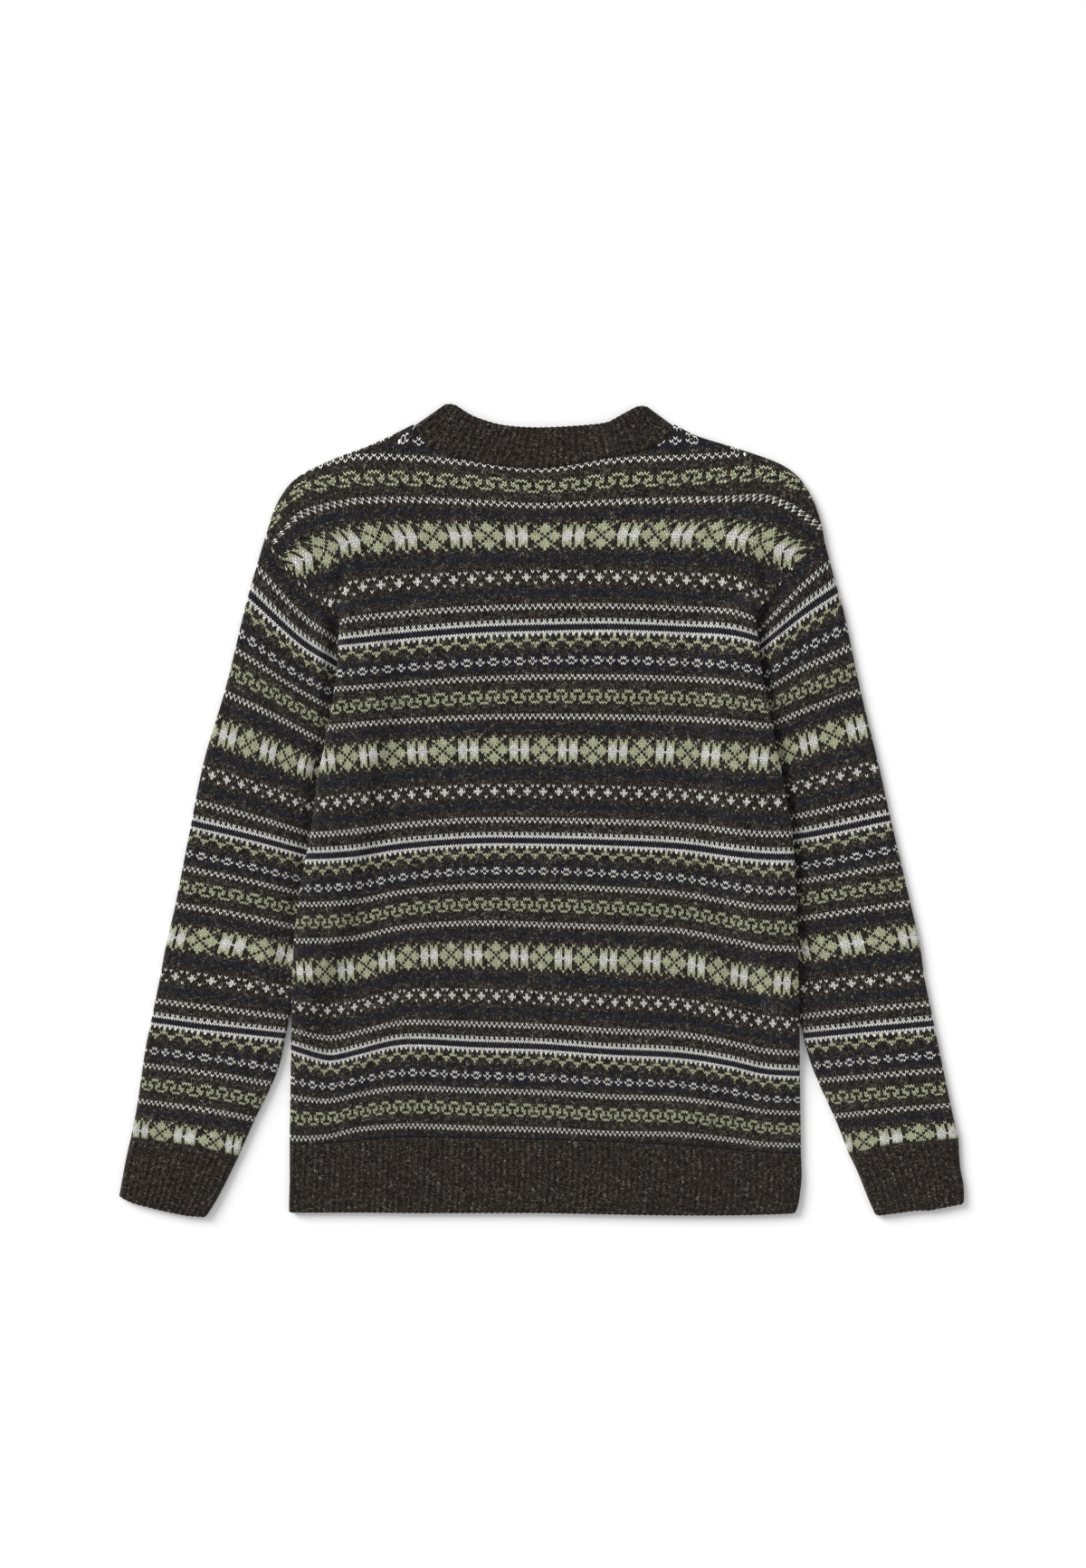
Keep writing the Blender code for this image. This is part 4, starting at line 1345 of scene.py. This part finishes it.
# The cuffs' sides, from the free end up to the seam.
CUFF_SIDES = table(
    "left_outer left_outer_y left_inner left_inner_y right_inner right_inner_y right_outer right_outer_y",
    (-373, -340.5, -295, -356.5, 294, -355.5, 373, -345),
    (-370.5, -326.5, -286, -342, 288, -342, 372.5, -330.5),
    (-367, -307.5, -277, -324.5, 279.5, -320.5, 369.5, -314),
    (-362.5, -288, -267.5, -305, 271, -302.5, 368, -289.5),
)
# Their free ends, each from left to right.
CUFF_ENDS = table(
    "left left_y right right_y",
    (-373, -340.5, 294, -355.5),
    (-360, -346.5, 296, -357),
    (-343, -351, 307, -356),
    (-326, -355, 330, -353),
    (-312, -357.5, 343.5, -352.5),
    (-299.5, -358.5, 364, -348.5),
    (-296.5, -358.2, 371, -347),
    (-295, -356.5, 373, -345),
)

for side, first, last in (("left", "left_outer", "left_inner"), ("right", "right_inner", "right_outer")):
    make_ring("cuff_" + side, side_line(CUFF_SIDES, first), side_line(CUFF_SIDES, last),
              side_line(CUFF_ENDS, side), curve_of(CUFF_SEAMS[side]), CUFF_WIDTH, CUFF_LENGTH, CUFF_ROWS)


# ---- The neckband ------------------------------------------------------------------------------
# A ring of 1x1 rib picked up round the neck. Its back half stands on the back's neck curve and
# its front half on the front's, which hangs lower and is hidden under the back.

NECKBAND_DEPTH = 36.0
NECK_WIDTH = 204.0      # the back half of the neckband, along its free edge
NECKBAND_ROWS = 14
NECK_EDGE = table(
    "x y",
    (-89, 356),
    (-85, 358.2),
    (-80.5, 358.5),
    (-75.5, 357.2),
    (-63.5, 349.5),
    (-51, 344.5),
    (-36.5, 340.5),
    (-19, 338.5),
    (1, 338),
    (32.5, 339.5),
    (55.5, 342),
    (64, 345.5),
    (79.5, 354),
    (85.5, 356.5),
    (92, 356.5),
    (97.5, 353.5),
)


def neckband_half(seam, edge):
    """A function for the grid of one half of the neckband, from its free edge to its seam."""
    first = SEAM_GAP / NECKBAND_DEPTH

    def grid_at(across, up):
        share = ((1 - first) * up)[:, None, None]
        return (1 - share) * along(edge, across)[None] + share * along(seam, across)[None]

    return grid_at


def on_neck(grid, across):
    """The seam line that a panel's grid has along its neck."""
    return measured(grid[-1, (across >= NECK_START) & (across <= NECK_STOP)])


def make_neckband():
    """The two halves between their free edges and the seams that the panels' necks give."""
    back_edge = curve_of(NECK_EDGE)
    start, end = back_edge[0][0], back_edge[0][-1]
    front_edge = front_neck(FRONT_NECK_DROP - NECKBAND_DEPTH + start[1] - NECK_SEAM["y"][0], start, end)
    halves = (neckband_half(on_neck(back_grid, back_across), back_edge),
              neckband_half(on_neck(front_grid, front_across), front_edge))
    make_rib("neckband", halves, NECK_WIDTH, NECKBAND_DEPTH, NECKBAND_ROWS)


make_neckband()
